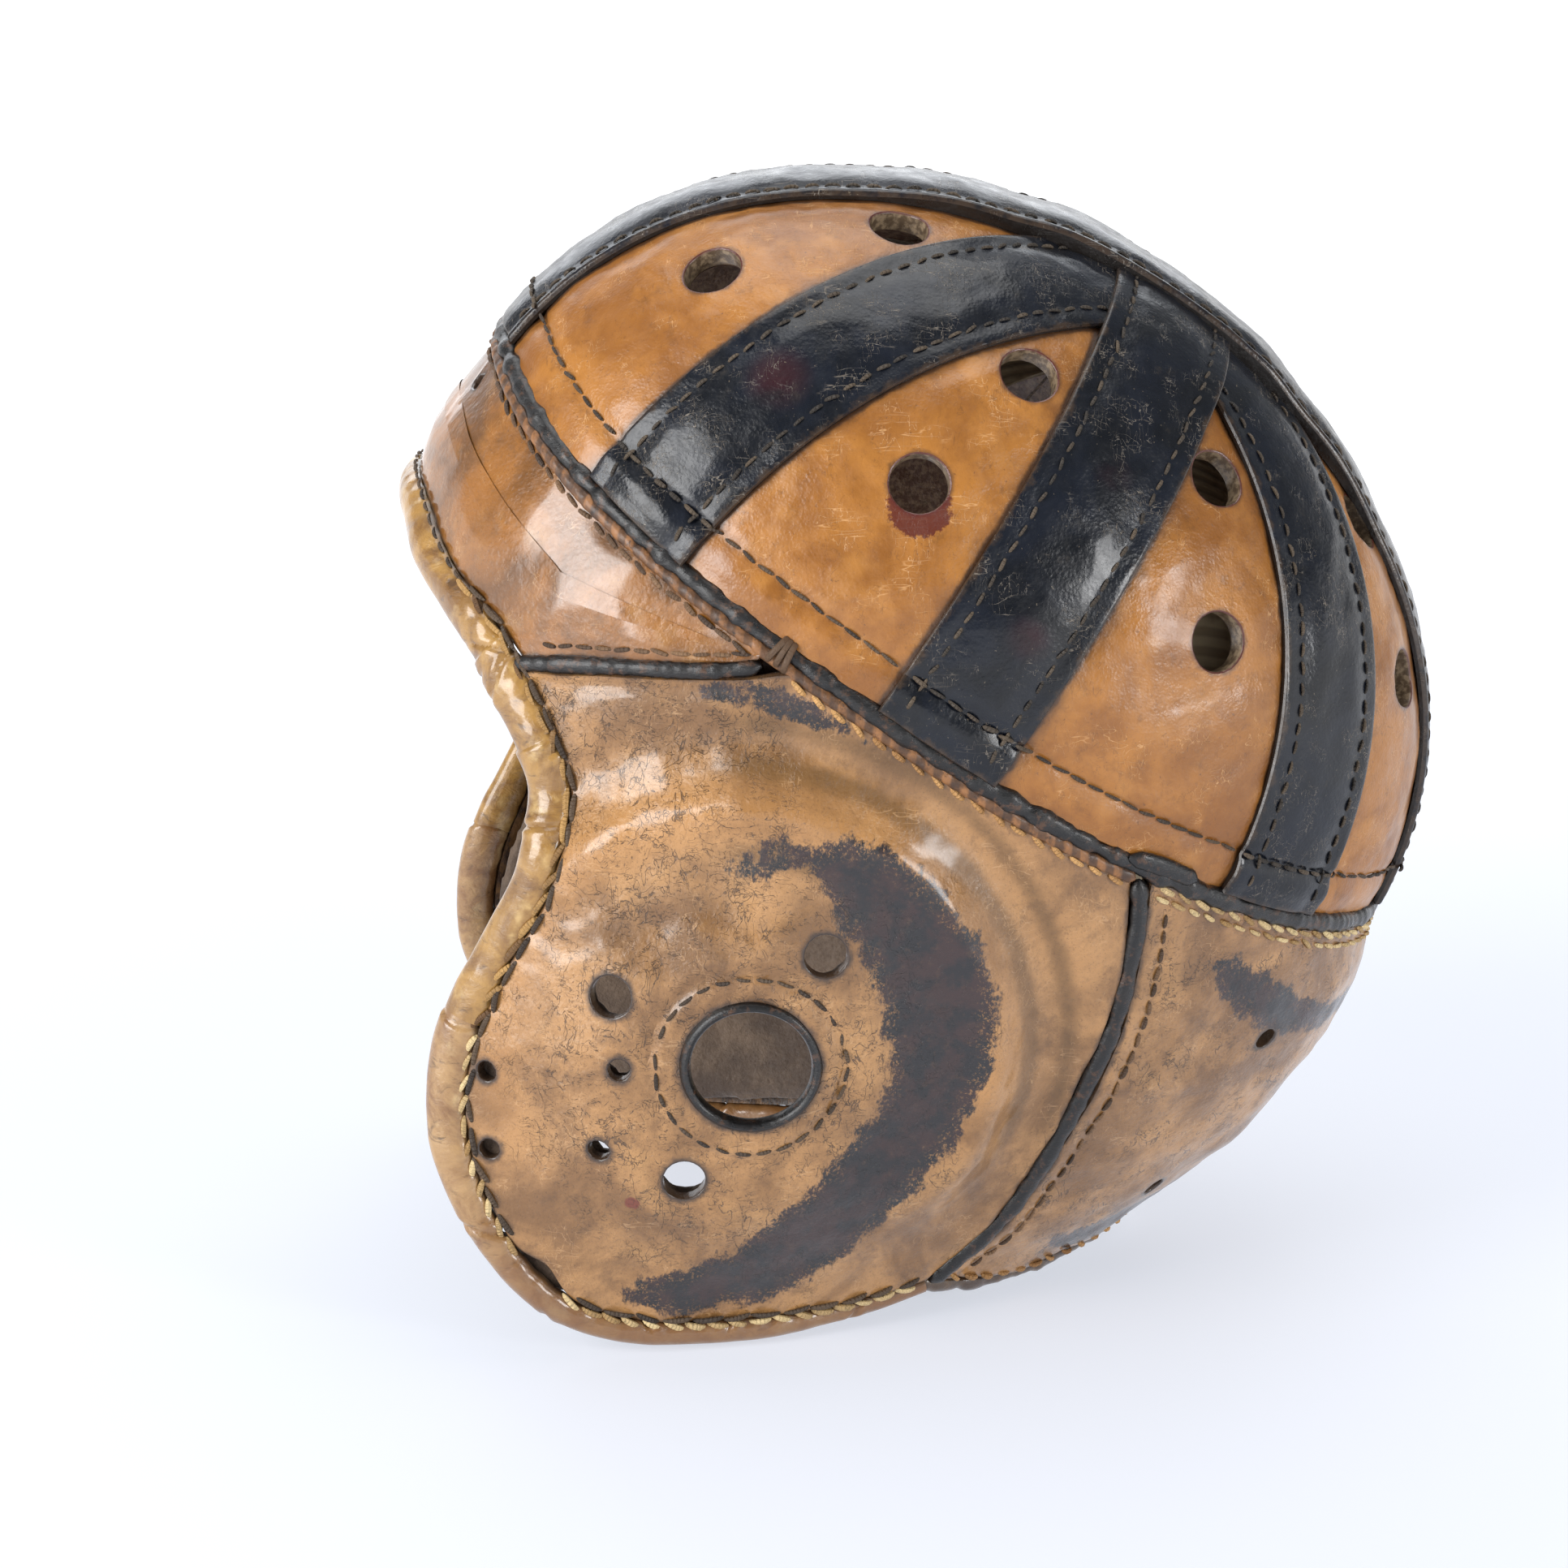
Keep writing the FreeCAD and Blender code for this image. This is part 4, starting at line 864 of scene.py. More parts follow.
TAN, BLACK = tan_leather(), black_leather()
BROWN = wall_leather("brown_leather", 0.65, 0.18, (122, 85, 46), (180, 133, 82))
POLISHED = wall_leather("polished_leather", 1.0, 0.12, (102, 62, 14), (154, 98, 34))
PIPING, FELT, LINING = piping_leather(), felt(), suede()
LIP = lip_leather()
BROW_LEATHER = binding_leather("brow_leather", (122, 84, 38), (172, 130, 66), (212, 178, 118))
JAW_LEATHER = binding_leather("jaw_leather", (126, 86, 48), (176, 138, 90), (208, 178, 128))
DARK_THREAD = thread("dark_thread", (48, 38, 30), (92, 74, 56))
STRAP_THREAD = thread("strap_thread", (42, 36, 30), (88, 74, 58))
TAN_THREAD = thread("tan_thread", (142, 98, 52), (206, 158, 98))
WALL_THREAD = thread("wall_thread", (60, 44, 32), (132, 100, 70))
CREAM_THREAD = thread("cream_thread", (160, 124, 74), (226, 200, 148))
BROWN_CORD = thread("brown_cord", (92, 62, 34), (190, 148, 88))
SHELL, WEB, SWEAT = fibre_shell(), webbing(), sweat_leather()

# -------------------------------------------------------------------- straps
STRAPS = {"front": (49.5, (-24, 28), 1.13), "middle": (90.5, (0, 14), 1.12),
          "rear": (136, (20, 24), 1.12)}
STRAP_HALF, CENTRE_HALF, RIDGE = 15.0, 17.0, 12.2
LAYER = STRAP + 3 * LIE
# Straps and gores end inside the piping: TUCK is how far below the rim, in millimetres, and
# the others are the same as shares of a strap's and of the middle band's run.
TUCK, STRAP_TUCK, MIDDLE_TUCK = 0.9, 0.008, 0.0034


def between_ways(start, end, t):
    start, end = unit(start), unit(end)
    angle = math.acos(float(start @ end))
    t = np.asarray(t, float)[..., None]
    return (start * np.sin((1 - t) * angle) + end * np.sin(t * angle)) / math.sin(angle)


def strap_way(strap, t, aside=0.0):
    """Direction to a strap's middle line, t from rim to top, moved sideways."""
    angle, top, _ = STRAPS[strap]
    start, end = crown_way(angle, float(rim(angle))), plan_way(*top)
    t, aside = np.broadcast_arrays(np.asarray(t, float), np.asarray(aside, float))
    way = between_ways(start, end, t)
    here = crown(way)
    ahead = crown(between_ways(start, end, t + 1e-3)) - here
    shift = unit(np.cross(ahead, crown(way, 1.0) - here))
    along = shift[..., 1] * math.cos(TILT) - shift[..., 2] * math.sin(TILT)
    rise = shift[..., 1] * math.sin(TILT) + shift[..., 2] * math.cos(TILT)
    flat = np.hypot(way[..., 0], way[..., 1])
    scale = (np.abs(way[..., 2]) ** POWER + flat ** POWER) ** (-1 / POWER)
    return (way * scale[..., None]
            + aside[..., None] * np.stack([along / LENGTH, shift[..., 0] / WIDTH, rise / RISE], -1))


def lift_angle(angle):
    low = crown_way(angle, float(rim(angle)))
    return math.atan2(low[2], math.hypot(low[0], low[1]))


def middle_way(t, across):
    """Direction to the band over the middle, t from brow to nape."""
    t, across = np.broadcast_arrays(np.asarray(t, float), np.asarray(across, float))
    turn = lift_angle(0) + (math.pi - lift_angle(180) - lift_angle(0)) * t
    scale = (np.sin(turn) ** POWER + np.abs(np.cos(turn)) ** POWER) ** (-1 / POWER)
    return np.stack([-np.cos(turn) * scale, across / WIDTH, np.sin(turn) * scale], -1)


HEM = 9.0
STITCH_IN = {"side": 4.6, "centre": 4.2}


def strap_lift(strap, t):
    """How far the middle strap climbs over its neighbours near the top."""
    return LAYER * smooth((t - 0.68) / 0.15) if strap == "middle" else 0 * t


def centre_lift(t):
    away = np.abs(t - 0.5)
    return LAYER * (smooth((0.22 - away) / 0.08) + smooth((0.12 - away) / 0.05))


def strap_places(strap):
    reach = STRAPS[strap][2]
    path = crown(strap_way(strap, np.linspace(0, reach, 40)))
    long = np.linalg.norm(np.diff(path, axis=0), axis=1).sum()
    t = spaced(long, 1.5) * (reach + STRAP_TUCK) - STRAP_TUCK
    aside = (spaced(2 * STRAP_HALF, 1.5, (0.25, 0.6, 1.1)) - 0.5) * 2 * STRAP_HALF
    return t, aside, strap_way(strap, t[:, None], aside[None, :])


# Red marks on the black straps, each a place and a radius.
SMUDGES = [((51.2, 43.0), 8.0), ((90.8, 66.0), 5.0), ((91.8, 31.0), 6.0)]
RED_MARKS = [((90.0, 29.6), 0.9), ((91.3, 30.6), 1.0), ((92.6, 31.4), 0.8), ((96.0, 62.0), 0.7),
             ((96.2, 64.5), 0.8), ((96.0, 67.0), 0.6)]


def near_marks(points, spots):
    """Distance in millimetres to the nearest spot, negative inside it."""
    away = np.full(points.shape[:-1], 99.0)
    for (angle, height), radius in spots:
        centre = skin_at(angle, height)
        away = np.minimum(away, np.linalg.norm(points - centre, axis=-1) - radius)
    return away


def closeness(points, spots):
    """1.5 at the edge of the nearest spot, more inside it, 0 away from it."""
    return np.clip(1.5 - near_marks(points, spots), 0, 3)


def strap_sheet(strap):
    t, aside, places = strap_places(strap)
    seam = STRAP_HALF - STITCH_IN["side"]

    def lift(flat, edge, run_i, run_j):
        across = np.abs(aside)[None, :]
        up = run_i - TUCK
        dent = -0.35 * bump_at(across, seam, 1.0) - 0.8 * bump_at(up, HEM, 1.1)
        puff = 0.45 * smooth((seam - across) / 6) + 0.75 * bump_at(up, HEM / 2, 2.6)
        lumps = 0.16 * ripple(flat, 16, 3) + 0.05 * ripple(flat, 5, 4)
        return strap_lift(strap, t)[:, None] + dent + puff + lumps * smooth(edge / 3)

    return leather(crown, places, LIE + STRAP, STRAP, lift, 0.7,
                   marks=lambda points: {"smudge": near_marks(points, SMUDGES),
                                         "red": closeness(points, RED_MARKS)})


thread_rows = []
strap_sheets = []
for strap, (_, _, reach) in STRAPS.items():
    made = strap_sheet(strap)
    strap_sheets.append(made)
    both(f"{strap}_band", made, BLACK, slot="black_leather", stands_for=[f"{strap}_strap_SIDE"])
    t = np.linspace(0.015, reach * 0.985, 160)
    for aside in (-1, 1):
        ways = strap_way(strap, t, aside * (STRAP_HALF - STITCH_IN["side"]))
        path, normals = laid(*on_crown(ways, LIE + STRAP + strap_lift(strap, t)), made)
        thread_rows.append(stitches(path, normals, 3.2, 1.1, 0.4, 11 + aside, loose=0.16))

# Strap over the middle, lying over all the others, with its edges standing up a little.
t = spaced(260, 1.6) * (1 + 2 * MIDDLE_TUCK) - MIDDLE_TUCK
across = (spaced(2 * CENTRE_HALF, 1.5, (0.3, 0.8, 1.5)) - 0.5) * 2 * CENTRE_HALF
centre_places = middle_way(t[:, None], across[None, :])


def centre_relief(flat, edge, run_i, run_j):
    side = np.abs(across)[None, :]
    seam = CENTRE_HALF - STITCH_IN["centre"]
    dent = -0.4 * bump_at(side, seam, 1.0)
    puff = 0.5 * smooth((seam - side) / 6) + 0.45 * bump_at(side, CENTRE_HALF - 1.2, 1.1)
    lumps = 0.18 * ripple(flat, 14, 5) + 0.08 * ripple(flat, 5, 6)
    return centre_lift(t)[:, None] + dent + puff + lumps * smooth(edge / 3)


centre_sheet = leather(crown, centre_places, LIE + STRAP, STRAP, centre_relief, 0.8)
make("centre_strap_top", centre_sheet, BLACK, stands_for=["centre_strap"], slot="black_leather")
t = np.linspace(0.01, 0.99, 260)
for side in (-1, 1):
    ways = middle_way(t, side * (CENTRE_HALF - STITCH_IN["centre"]))
    path, normals = laid(*on_crown(ways, LIE + STRAP + centre_lift(t)), centre_sheet)
    thread_rows.append(stitches(path, normals, 3.2, 1.2, 0.38, 21 + side, loose=0.16))

# --------------------------------------------------------------------- gores
VENTS = {"front": [(29.2, 50.6), (31.7, 79.9)], "front_middle": [(72.3, 43.7), (72.9, 73.2)],
         "rear_middle": [(112.4, 50.4), (107.1, 77.1)], "rear": [(155.6, 60.6), (156.3, 82.9)]}
VENT_RADIUS = 6.35
FINE = np.linspace(0, 1, 60)
front_angle = math.degrees(math.asin(RIDGE / WIDTH))


def rim_line(start, end):
    angles = start + (end - start) * FINE
    return crown_way(angles, rim(angles) - TUCK)


def straight(start, end):
    return start + (end - start) * FINE[:, None]


def hole_at(place, radius):
    """Middle, direction and radius of a hole through the leather."""
    return wall(place), skin_normal(*place), radius


def tucked(reach, tuck=STRAP_TUCK):
    return (reach + tuck) * FINE - tuck


gore_borders = {
    "front": (rim_line(front_angle, 49.5), middle_way(tucked(0.40, MIDDLE_TUCK), RIDGE),
              strap_way("front", tucked(1.04), -0.3)),
    "front_middle": (rim_line(49.5, 90.5), strap_way("front", tucked(0.97), 0.3),
                     strap_way("middle", tucked(0.80), -0.3)),
    "rear_middle": (rim_line(90.5, 136), strap_way("middle", tucked(0.80), 0.3),
                    strap_way("rear", tucked(0.95), -0.3)),
    "rear": (rim_line(136, 180 - front_angle), strap_way("rear", tucked(1.04), 0.3),
             middle_way(1 - tucked(0.38, MIDDLE_TUCK), RIDGE)),
}
strap_lines = [crown(strap_way(strap, np.linspace(0, reach, 90)))
               for strap, (_, _, reach) in STRAPS.items()]


def from_line(points, line):
    flat = points.reshape(-1, 3)
    away = np.min(np.linalg.norm(flat[:, None] - line[None], axis=2), axis=1)
    return away.reshape(points.shape[:-1])


def from_straps(points):
    """Distance outside the nearest strap's edge."""
    away = np.min([from_line(points, line) for line in strap_lines], axis=0) - STRAP_HALF
    return np.minimum(away, np.abs(points[..., 0]) - CENTRE_HALF)


def gore_relief(flat, edge, run_i, run_j):
    away = from_straps(flat)
    height = run_j - TUCK
    dent = -0.75 * bump_at(height, HEM, 1.0) - 0.25 * smooth((HEM - height) / 1.0)
    puff = 0.55 * smooth(away / 9) + 0.45 * bump_at(height, HEM / 2, 2.6)
    return dent + puff - 0.15 + 0.22 * ripple(flat, 17, 8) + 0.08 * ripple(flat, 6, 9)


def gore_marks(points):
    return {"seam": from_straps(points), "stain": near_marks(points, [((74.0, 40.0), 6.0)])}


gore_sheets = []
for label, (low, left, right) in gore_borders.items():
    low[0], low[-1] = left[0], right[0]
    places = between(low, straight(left[-1], right[-1]), left, right, 1.5, crown)
    holes = [hole_at(place, VENT_RADIUS) for place in VENTS[label]]
    gore = leather(crown, places, 0.0, GORE_AND_SHELL, gore_relief, 0.5, holes, gore_marks)
    gore_sheets.append(gore)
    both(f"gore_{label}", gore, TAN, stands_for=[f"crown_gore_{label}_SIDE"], slot="tan_leather")


def over_straps(points):
    """How far a thread is raised where it runs over a strap."""
    return LAYER * smooth((0.5 - from_straps(points)) / 1.0)


angles = np.linspace(0.5, 179.5, 500)
ways = crown_way(angles, rim(angles) + HEM)
flat = crown(ways)
path, normals = laid(*on_crown(ways, over_straps(flat)), *gore_sheets, *strap_sheets,
                     centre_sheet)
covered = from_straps(path) < 0
thread_rows.append(stitches(path, normals, 3.5, 0.9, 0.48, 31, where=covered))
both("strap_threads", collected(thread_rows), STRAP_THREAD)
both("hem_threads", stitches(path, normals, 4.2, 0.35, 0.4, 32, where=~covered), DARK_THREAD)

# --------------------------------------------------------------------- seams
SPLICE = CENTRE_Z - 64.0
BROW_LINE = [(0, -27), (14, -28.2), (28, -33.2), (42, -36.5), (47.5, -40.2)]
CHEEK_LINE = [(47.5, -40.2), (55, -47.3), (60.5, -57), (63.8, -68), (64.8, -82), (65.2, -98),
              (66.5, -114), (70, -126), (77, -137.5), (85.4, -145.2)]
JAW_LINE = [(85.4, -145.2), (91, -148.2), (97, -148.6), (103, -146), (109, -141),
            (118, -130.5), (127.3, -118.3), (134.2, -107)]
TEMPLE_SEAM = [(46.6, -38.4), (50.7, -33.7), (56, -27.5), (62, -20), (68, -11.5), (70.9, -5.8)]
NECK_SEAM = [(117.6, -0.6), (118.5, -2.6), (122.4, -16), (125.6, -31), (128.6, -48),
             (132.8, -69), (135.9, -91), (135.9, -103)]
temple = through(TEMPLE_SEAM, 60)
neck_seam = through(NECK_SEAM, 90)


def roll(path, normals, radius, seed, squash=0.86, lumps=0.17, many=16, step=0.8):
    """Piping: a round roll with slight lumps and cross wrinkles."""
    path, normals, run = evenly(path, normals, step)
    _, side, up = frames(path, normals)
    far = run[:, None] * [1, 0, 0]
    swell = 1 + lumps * ripple(far, 9, seed) + 0.05 * ripple(far, 2.6, seed + 1)
    ends = np.sqrt(np.clip(np.minimum(run, run[-1] - run) / radius, 0, 1))
    size = (radius * swell * np.maximum(ends, 0.25))[:, None]
    return tube(path, side * size, up * size * squash, many, edge=6.0)


WELT_BELOW, LIP_BELOW = 2.35, 5.0
angles = np.linspace(-2, 182, 400)
path, normals = on_wall(np.stack([angles, rim(np.abs(angles)) - WELT_BELOW], -1), -0.6)
both("crown_welt", roll(path, normals, 2.25, 41), PIPING, stands_for=["crown_welt"],
     slot="black_piping")
angles = np.linspace(1, 117, 420)
path, normals = on_wall(np.stack([angles, rim(angles) - LIP_BELOW], -1), 0.25)
LIP_SIDES, LIP_STEP, LIP_TWIST = 14, 0.5, 4.4
lip = roll(path, normals, 1.45, 42, 0.8, 0.06, LIP_SIDES, LIP_STEP)
far = np.repeat(np.arange(len(lip.points) // LIP_SIDES) * LIP_STEP, LIP_SIDES)
# The twist sinks its grooves in, and the same mark paints shade into them.
lip.marks["tone"] = 0.5 + 0.5 * np.sin(2 * math.pi * far / LIP_TWIST + lip.marks["around"])
lip.points += (lip.marks["tone"] * -0.25)[:, None] * unit(lip.points - [0, 0, 100.0])
both("wall_lip", lip, LIP, slot="brown_leather")
path, normals = on_wall(np.concatenate([[(44.6, -40.6)], temple]), -0.5)
both("temple_piping", roll(path, normals, 1.95, 43, lumps=0.07), PIPING,
     stands_for=["temple_welt_SIDE"], slot="black_piping")
path, normals = on_wall(np.concatenate([neck_seam, [(135.6, -107.2)]]), -0.5)
both("neck_piping", roll(path, normals, 2.1, 44, lumps=0.07), PIPING,
     stands_for=["neck_welt_SIDE"], slot="black_piping")

# Thread tie round the crown's piping, and its lapped end behind the ear.
TIE_ANGLE, TIE_RADIUS = 72, 3.0
normal = skin_normal(TIE_ANGLE, 0)
ahead = unit(wall((TIE_ANGLE + 1, 0)) - wall((TIE_ANGLE - 1, 0)))
turn = np.linspace(0, 2 * math.pi, 26)
tie = []
for angle, lean in ((71.2, -0.16), (72.0, 0.05), (72.8, 0.2)):
    middle = wall((angle, float(rim(TIE_ANGLE)) - 2.9), -0.3)
    across = np.cross(ahead, normal) + lean * ahead
    loop = middle + TIE_RADIUS * (np.outer(np.cos(turn), across) + np.outer(np.sin(turn), normal))
    outward = unit(loop - middle)
    tie.append(tube(loop, frames(loop, outward)[1] * 0.75, outward * 0.6, 8, False, tone=0.3))
both("welt_tie", collected(tie), WALL_THREAD)
lap = through([(114.6, 3.0), (117.5, 4.4), (120.5, 5.2), (123.4, 5.6)], 30)
path, normals = on_wall(lap, 0.9)
both("welt_lap", roll(path, normals, 2.1, 47, 0.62, 0.06), PIPING, slot="black_piping")

# ----------------------------------------------------------------- forehead
# Gaps for the piping, as heights and as angles, and how far a leather runs up under it.
SEAM_HALF, SEAM_TURN, TOP_TUCK = 1.7, 0.95, 0.4


def line_height(line, angle):
    line = np.asarray(line, float)
    return np.interp(angle, line[:, 0], line[:, 1])


def brow_edge(angle):
    angle = np.abs(angle)
    edge = through(BROW_LINE, 60)
    inner = line_height(edge, angle) + 0.2 + 1.6 * smooth((angle - 40) / 6.6)
    return np.where(angle <= 46.6, inner, line_height(temple, angle) + SEAM_HALF)


def brow_places(reach, many, above_edge, below_top, step):
    """Places behind the forehead, out to an angle on either side."""
    span = np.linspace(-reach, reach, many)
    low = np.stack([span, brow_edge(span) + above_edge(span)], -1)
    high = np.stack([span, wall_top(span) - below_top], -1)
    return between(low, high, straight(low[0], high[0]), straight(low[-1], high[-1]), step, wall)


forehead_places = brow_places(70.4, 160, np.zeros_like, -TOP_TUCK, 1.6)
forehead_holes = [hole_at((angle, -2.0), 2.2) for angle in (-8.0, 8.0)]


def forehead_relief(flat, edge, run_i, run_j):
    top = run_j[:, -1:] - run_j
    dent = -0.5 * bump_at(top, 4.2, 1.0) - 0.4 * bump_at(run_j, 3.6, 0.9)
    lip = 0.7 * bump_at(top, 1.6, 1.6)
    angle, height = np.abs(forehead_places[..., 0]), forehead_places[..., 1]
    soft = 1.3 * bump_at(angle, 50, 17) * bump_at(height, -16, 11)
    return dent + lip + soft + 0.25 * ripple(flat, 26, 51) + 0.07 * ripple(flat, 7, 52)


def forehead_marks(points):
    none = 0 * points[..., 0]
    return {"dry": none - 0.2, "paint": none + 40.0}


forehead = leather(wall, forehead_places, 0.0, PANEL, forehead_relief, 0.8, forehead_holes,
                   forehead_marks)
forehead.marks["seam"] = np.minimum(forehead.marks["edge"] * 1.4, 9.0)
make("forehead_leather", forehead, POLISHED, stands_for=["forehead_panel"], slot="brown_leather")

# -------------------------------------------------------------- side leather
def side_borders(torn=0.0):
    """Borders of the side leather: jaw, top, cheek and neck seam, with a torn dip at the chin."""
    top = np.concatenate([
        [(46.7, -40.0), (48.4, -37.6)], [(a, h - SEAM_HALF) for a, h in TEMPLE_SEAM[1:5]],
        [(71.4, -7.6)], [(a, float(wall_top(a)) + TOP_TUCK) for a in (75.0, 80, 90, 100, 110, 116.6)]])
    rear = np.concatenate([[(116.6, float(wall_top(116.6)) + TOP_TUCK)],
                           [(a - SEAM_TURN, h) for a, h in NECK_SEAM[2:]], [(134.4, -107)]])
    top, rear = through(top, 160), through(rear, 160)
    front, base = through(CHEEK_LINE, 160), through(JAW_LINE, 160)
    base[:, 1] += torn * bump_at(base[:, 0], 90.5, 3.4)
    front[0], base[-1] = top[0], rear[-1]
    base[0] = front[-1]
    return base, top, front[::-1], rear[::-1]


# Worn black paint: places along each band, with half its width there.
PAINT = [((88.0, -30.5), 4.0), ((92.0, -31.0), 8.5), ((97.0, -33.5), 10.5), ((103.0, -39.0), 12.0),
         ((108.0, -48.0), 12.0), ((111.5, -58.0), 11.0), ((114.0, -72.0), 10.5),
         ((114.6, -88.0), 11.0), ((114.0, -103.0), 11.5), ((113.0, -116.0), 10.5),
         ((109.5, -127.0), 8.0), ((104.8, -135.5), 5.0), ((101.5, -139.5), 2.5)]
ARC = [((67.8, -17.5), 1.2), ((72.2, -12.0), 2.6), ((78.2, -8.5), 2.6), ((84.0, -6.0), 1.0)]
NECK_PAINT = [((133.5, -9.0), 3.2), ((138.5, -11.5), 5.0), ((146.0, -13.0), 5.2),
              ((156.0, -12.0), 3.6), ((168.0, -9.5), 3.2), ((180.0, -9.0), 3.0)]
NECK_LOW = [((150.0, -88.0), 3.0), ((158.0, -82.0), 5.5), ((166.0, -73.0), 6.0),
            ((172.0, -66.0), 3.0)]
# Dry brush ticks at the band's upper end.
TICKS = [[((80.2, -48.0), 1.2), ((79.8, -43.0), 0.9)], [((81.8, -46.0), 1.5), ((81.0, -39.5), 1.0)],
         [((82.8, -42.0), 1.7), ((82.2, -35.0), 1.3)], [((83.8, -37.5), 1.9), ((83.2, -32.0), 1.6)],
         [((85.2, -34.0), 2.2), ((84.8, -29.0), 1.8)]]
EAR = (94.3, -78.3)


def painted(points, bands):
    """Distance outside worn bands of black paint."""
    away = np.full(points.shape[:-1], 40.0)
    flat = points.reshape(-1, 3)
    for band in bands:
        knots = np.array([(*place, half) for place, half in band])
        line = through(knots, 90) if len(band) > 2 else at(knots, np.linspace(0, 1, 20))
        spots = skin_at(line[:, 0], line[:, 1])
        gap = np.linalg.norm(flat[:, None] - spots[None], axis=2) - line[None, :, 2]
        away = np.minimum(away, gap.min(axis=1).reshape(away.shape))
    return away


def side_marks(points):
    y, z = points[..., 1], points[..., 2]
    away = np.hypot(y - EAR_Y, 0.95 * (z - EAR_Z))
    dry = 0.55 * smooth((z - 95) / 30) * smooth((-y - 20) / 30) + 0.3 * smooth((60 - away) / 20)
    # rings: dark rings round the ear cup, partly the leather's own bands and partly painted shade of
    # its ridge and hollow; raised: painted highlight along the ridge's top.
    rings = bump_at(away, 45, 3) + bump_at(away, 61.5, 2.6) + 0.8 * bump_at(away, 70, 3)
    plug = closeness(points, [((93.2, -119.5), 1.9)])
    return {"paint": painted(points, [PAINT, ARC] + TICKS), "dry": dry, "plug": plug,
            "rings": rings * smooth((z - 30) / 30) * smooth((y + 60) / 25),
            "raised": bump_at(away, 54, 6) * smooth((z - 40) / 30)}


def side_relief(flat, edge, run_i, run_j):
    dent = -0.4 * bump_at(run_j[:, -1:] - run_j, 3.0, 1.0)
    lip = 0.5 * bump_at(run_j[:, -1:] - run_j, 0.9, 1.0)
    return dent + lip + 0.32 * ripple(flat, 24, 61) + 0.12 * ripple(flat, 8, 62)


EAR_HOLE, FLAP_VENT, LACE_HOLE, CHIN_HOLE = 14.8, 4.6, 2.4, 2.2
CHIN_Y, CHIN_Z, CHIN_APART = CENTRE_Y - 94.3, 57.1, 8.8


def chin_hole(level):
    """Chin strap hole: where a line along X at this level meets the leather."""
    angles, heights = np.meshgrid(np.linspace(60, 80, 81), np.linspace(-130, -60, 141))
    spots = skin_at(angles, heights)
    k = np.argmin(np.hypot(spots[..., 1] - CHIN_Y, spots[..., 2] - level))
    return hole_at((angles.flat[k], heights.flat[k]), CHIN_HOLE)


SIDE_HOLES = [hole_at(EAR, EAR_HOLE)]
SIDE_HOLES += [hole_at(place, FLAP_VENT) for place in ((76.8, -82.8), (93.6, -48.7), (96.4, -108.5))]
SIDE_HOLES += [hole_at(place, LACE_HOLE) for place in ((82.4, -95.1), (86.0, -113.4))]
SIDE_HOLES += [chin_hole(CHIN_Z + CHIN_APART), chin_hole(CHIN_Z - CHIN_APART)]
places = between(*side_borders(3.0), 1.35, wall)
side = leather(wall, places, 0.0, PANEL, side_relief, 0.8, SIDE_HOLES, side_marks)
side.marks["seam"] = np.minimum(side.marks["edge"] * 1.2, 9.0)
both("side_leather", side, BROWN, "ear_flap", slot="brown_leather",
     stands_for=["side_panel_SIDE", "ear_flap_SIDE"])

# Black bound edge of the ear hole.
centre, way, _ = SIDE_HOLES[0]
turn = np.linspace(0, 2 * math.pi, 121)
one = unit(np.cross(way, [0, 0.2, 1.0]))
two = np.cross(way, one)
radial = np.outer(np.cos(turn), one) + np.outer(np.sin(turn), two)
ring = centre + radial * (EAR_HOLE - 0.7) - way * 1.3
outward = np.broadcast_to(way, ring.shape)
both("ear_hole_binding", tube(ring, radial * 1.25, outward * 2.3, 16, False, edge=6.0), PIPING,
     "ear_flap", slot="black_piping", stands_for=["ear_hole_rim_SIDE"])

# ----------------------------------------------------------------------- neck
NECK_LEVEL = [(136, 8.8), (145, 5.4), (152, 4.7), (160, 5.4), (170, 6.6), (180, 7.4)]


def height_at(angle, level):
    """Height on the walls where they are at a level above the floor."""
    above, below = 0.0, -155.0
    for _ in range(40):
        middle = (above + below) / 2
        if skin_at(angle, middle)[2] > level:
            above = middle
        else:
            below = middle
    return above


start = NECK_SEAM[-1][0] + SEAM_TURN
base_angles = np.linspace(start, 360 - start, 60)
neck_base = np.array([(a, height_at(a, line_height(NECK_LEVEL, min(a, 360 - a))))
                      for a in base_angles])
# The neck leather reaches this far above the walls' top, into the piping.
NECK_TUCK = 1.3
neck_left = through([(NECK_SEAM[0][0] + SEAM_TURN, float(wall_top(118.6)) + NECK_TUCK)]
                    + [(a + SEAM_TURN, h) for a, h in NECK_SEAM[2:-1]] + [tuple(neck_base[0])], 120)
neck_right = neck_left * [-1, 1] + [360, 0]
top_angles = np.linspace(neck_left[0, 0], neck_right[0, 0], 120)
neck_top = np.stack([top_angles, wall_top(top_angles) + NECK_TUCK], -1)
neck_borders = (neck_base, neck_top, neck_left[::-1], neck_right[::-1])


def neck_relief(flat, edge, run_i, run_j):
    side_in = np.minimum(run_i, run_i[-1:] - run_i)
    dent = -0.45 * bump_at(side_in, 5.0, 0.9) - 0.45 * bump_at(run_j[:, -1:] - run_j, 3.4, 1.0)
    flange = 0.35 * smooth((5.0 - side_in) / 2)
    return dent + flange + 0.35 * ripple(flat, 24, 71) + 0.12 * ripple(flat, 8, 72)


def neck_marks(points):
    mirrored = np.stack([np.abs(points[..., 0]), points[..., 1], points[..., 2]], -1)
    return {"paint": painted(mirrored, [NECK_PAINT, NECK_LOW]), "dry": 0.2 + 0 * points[..., 0]}


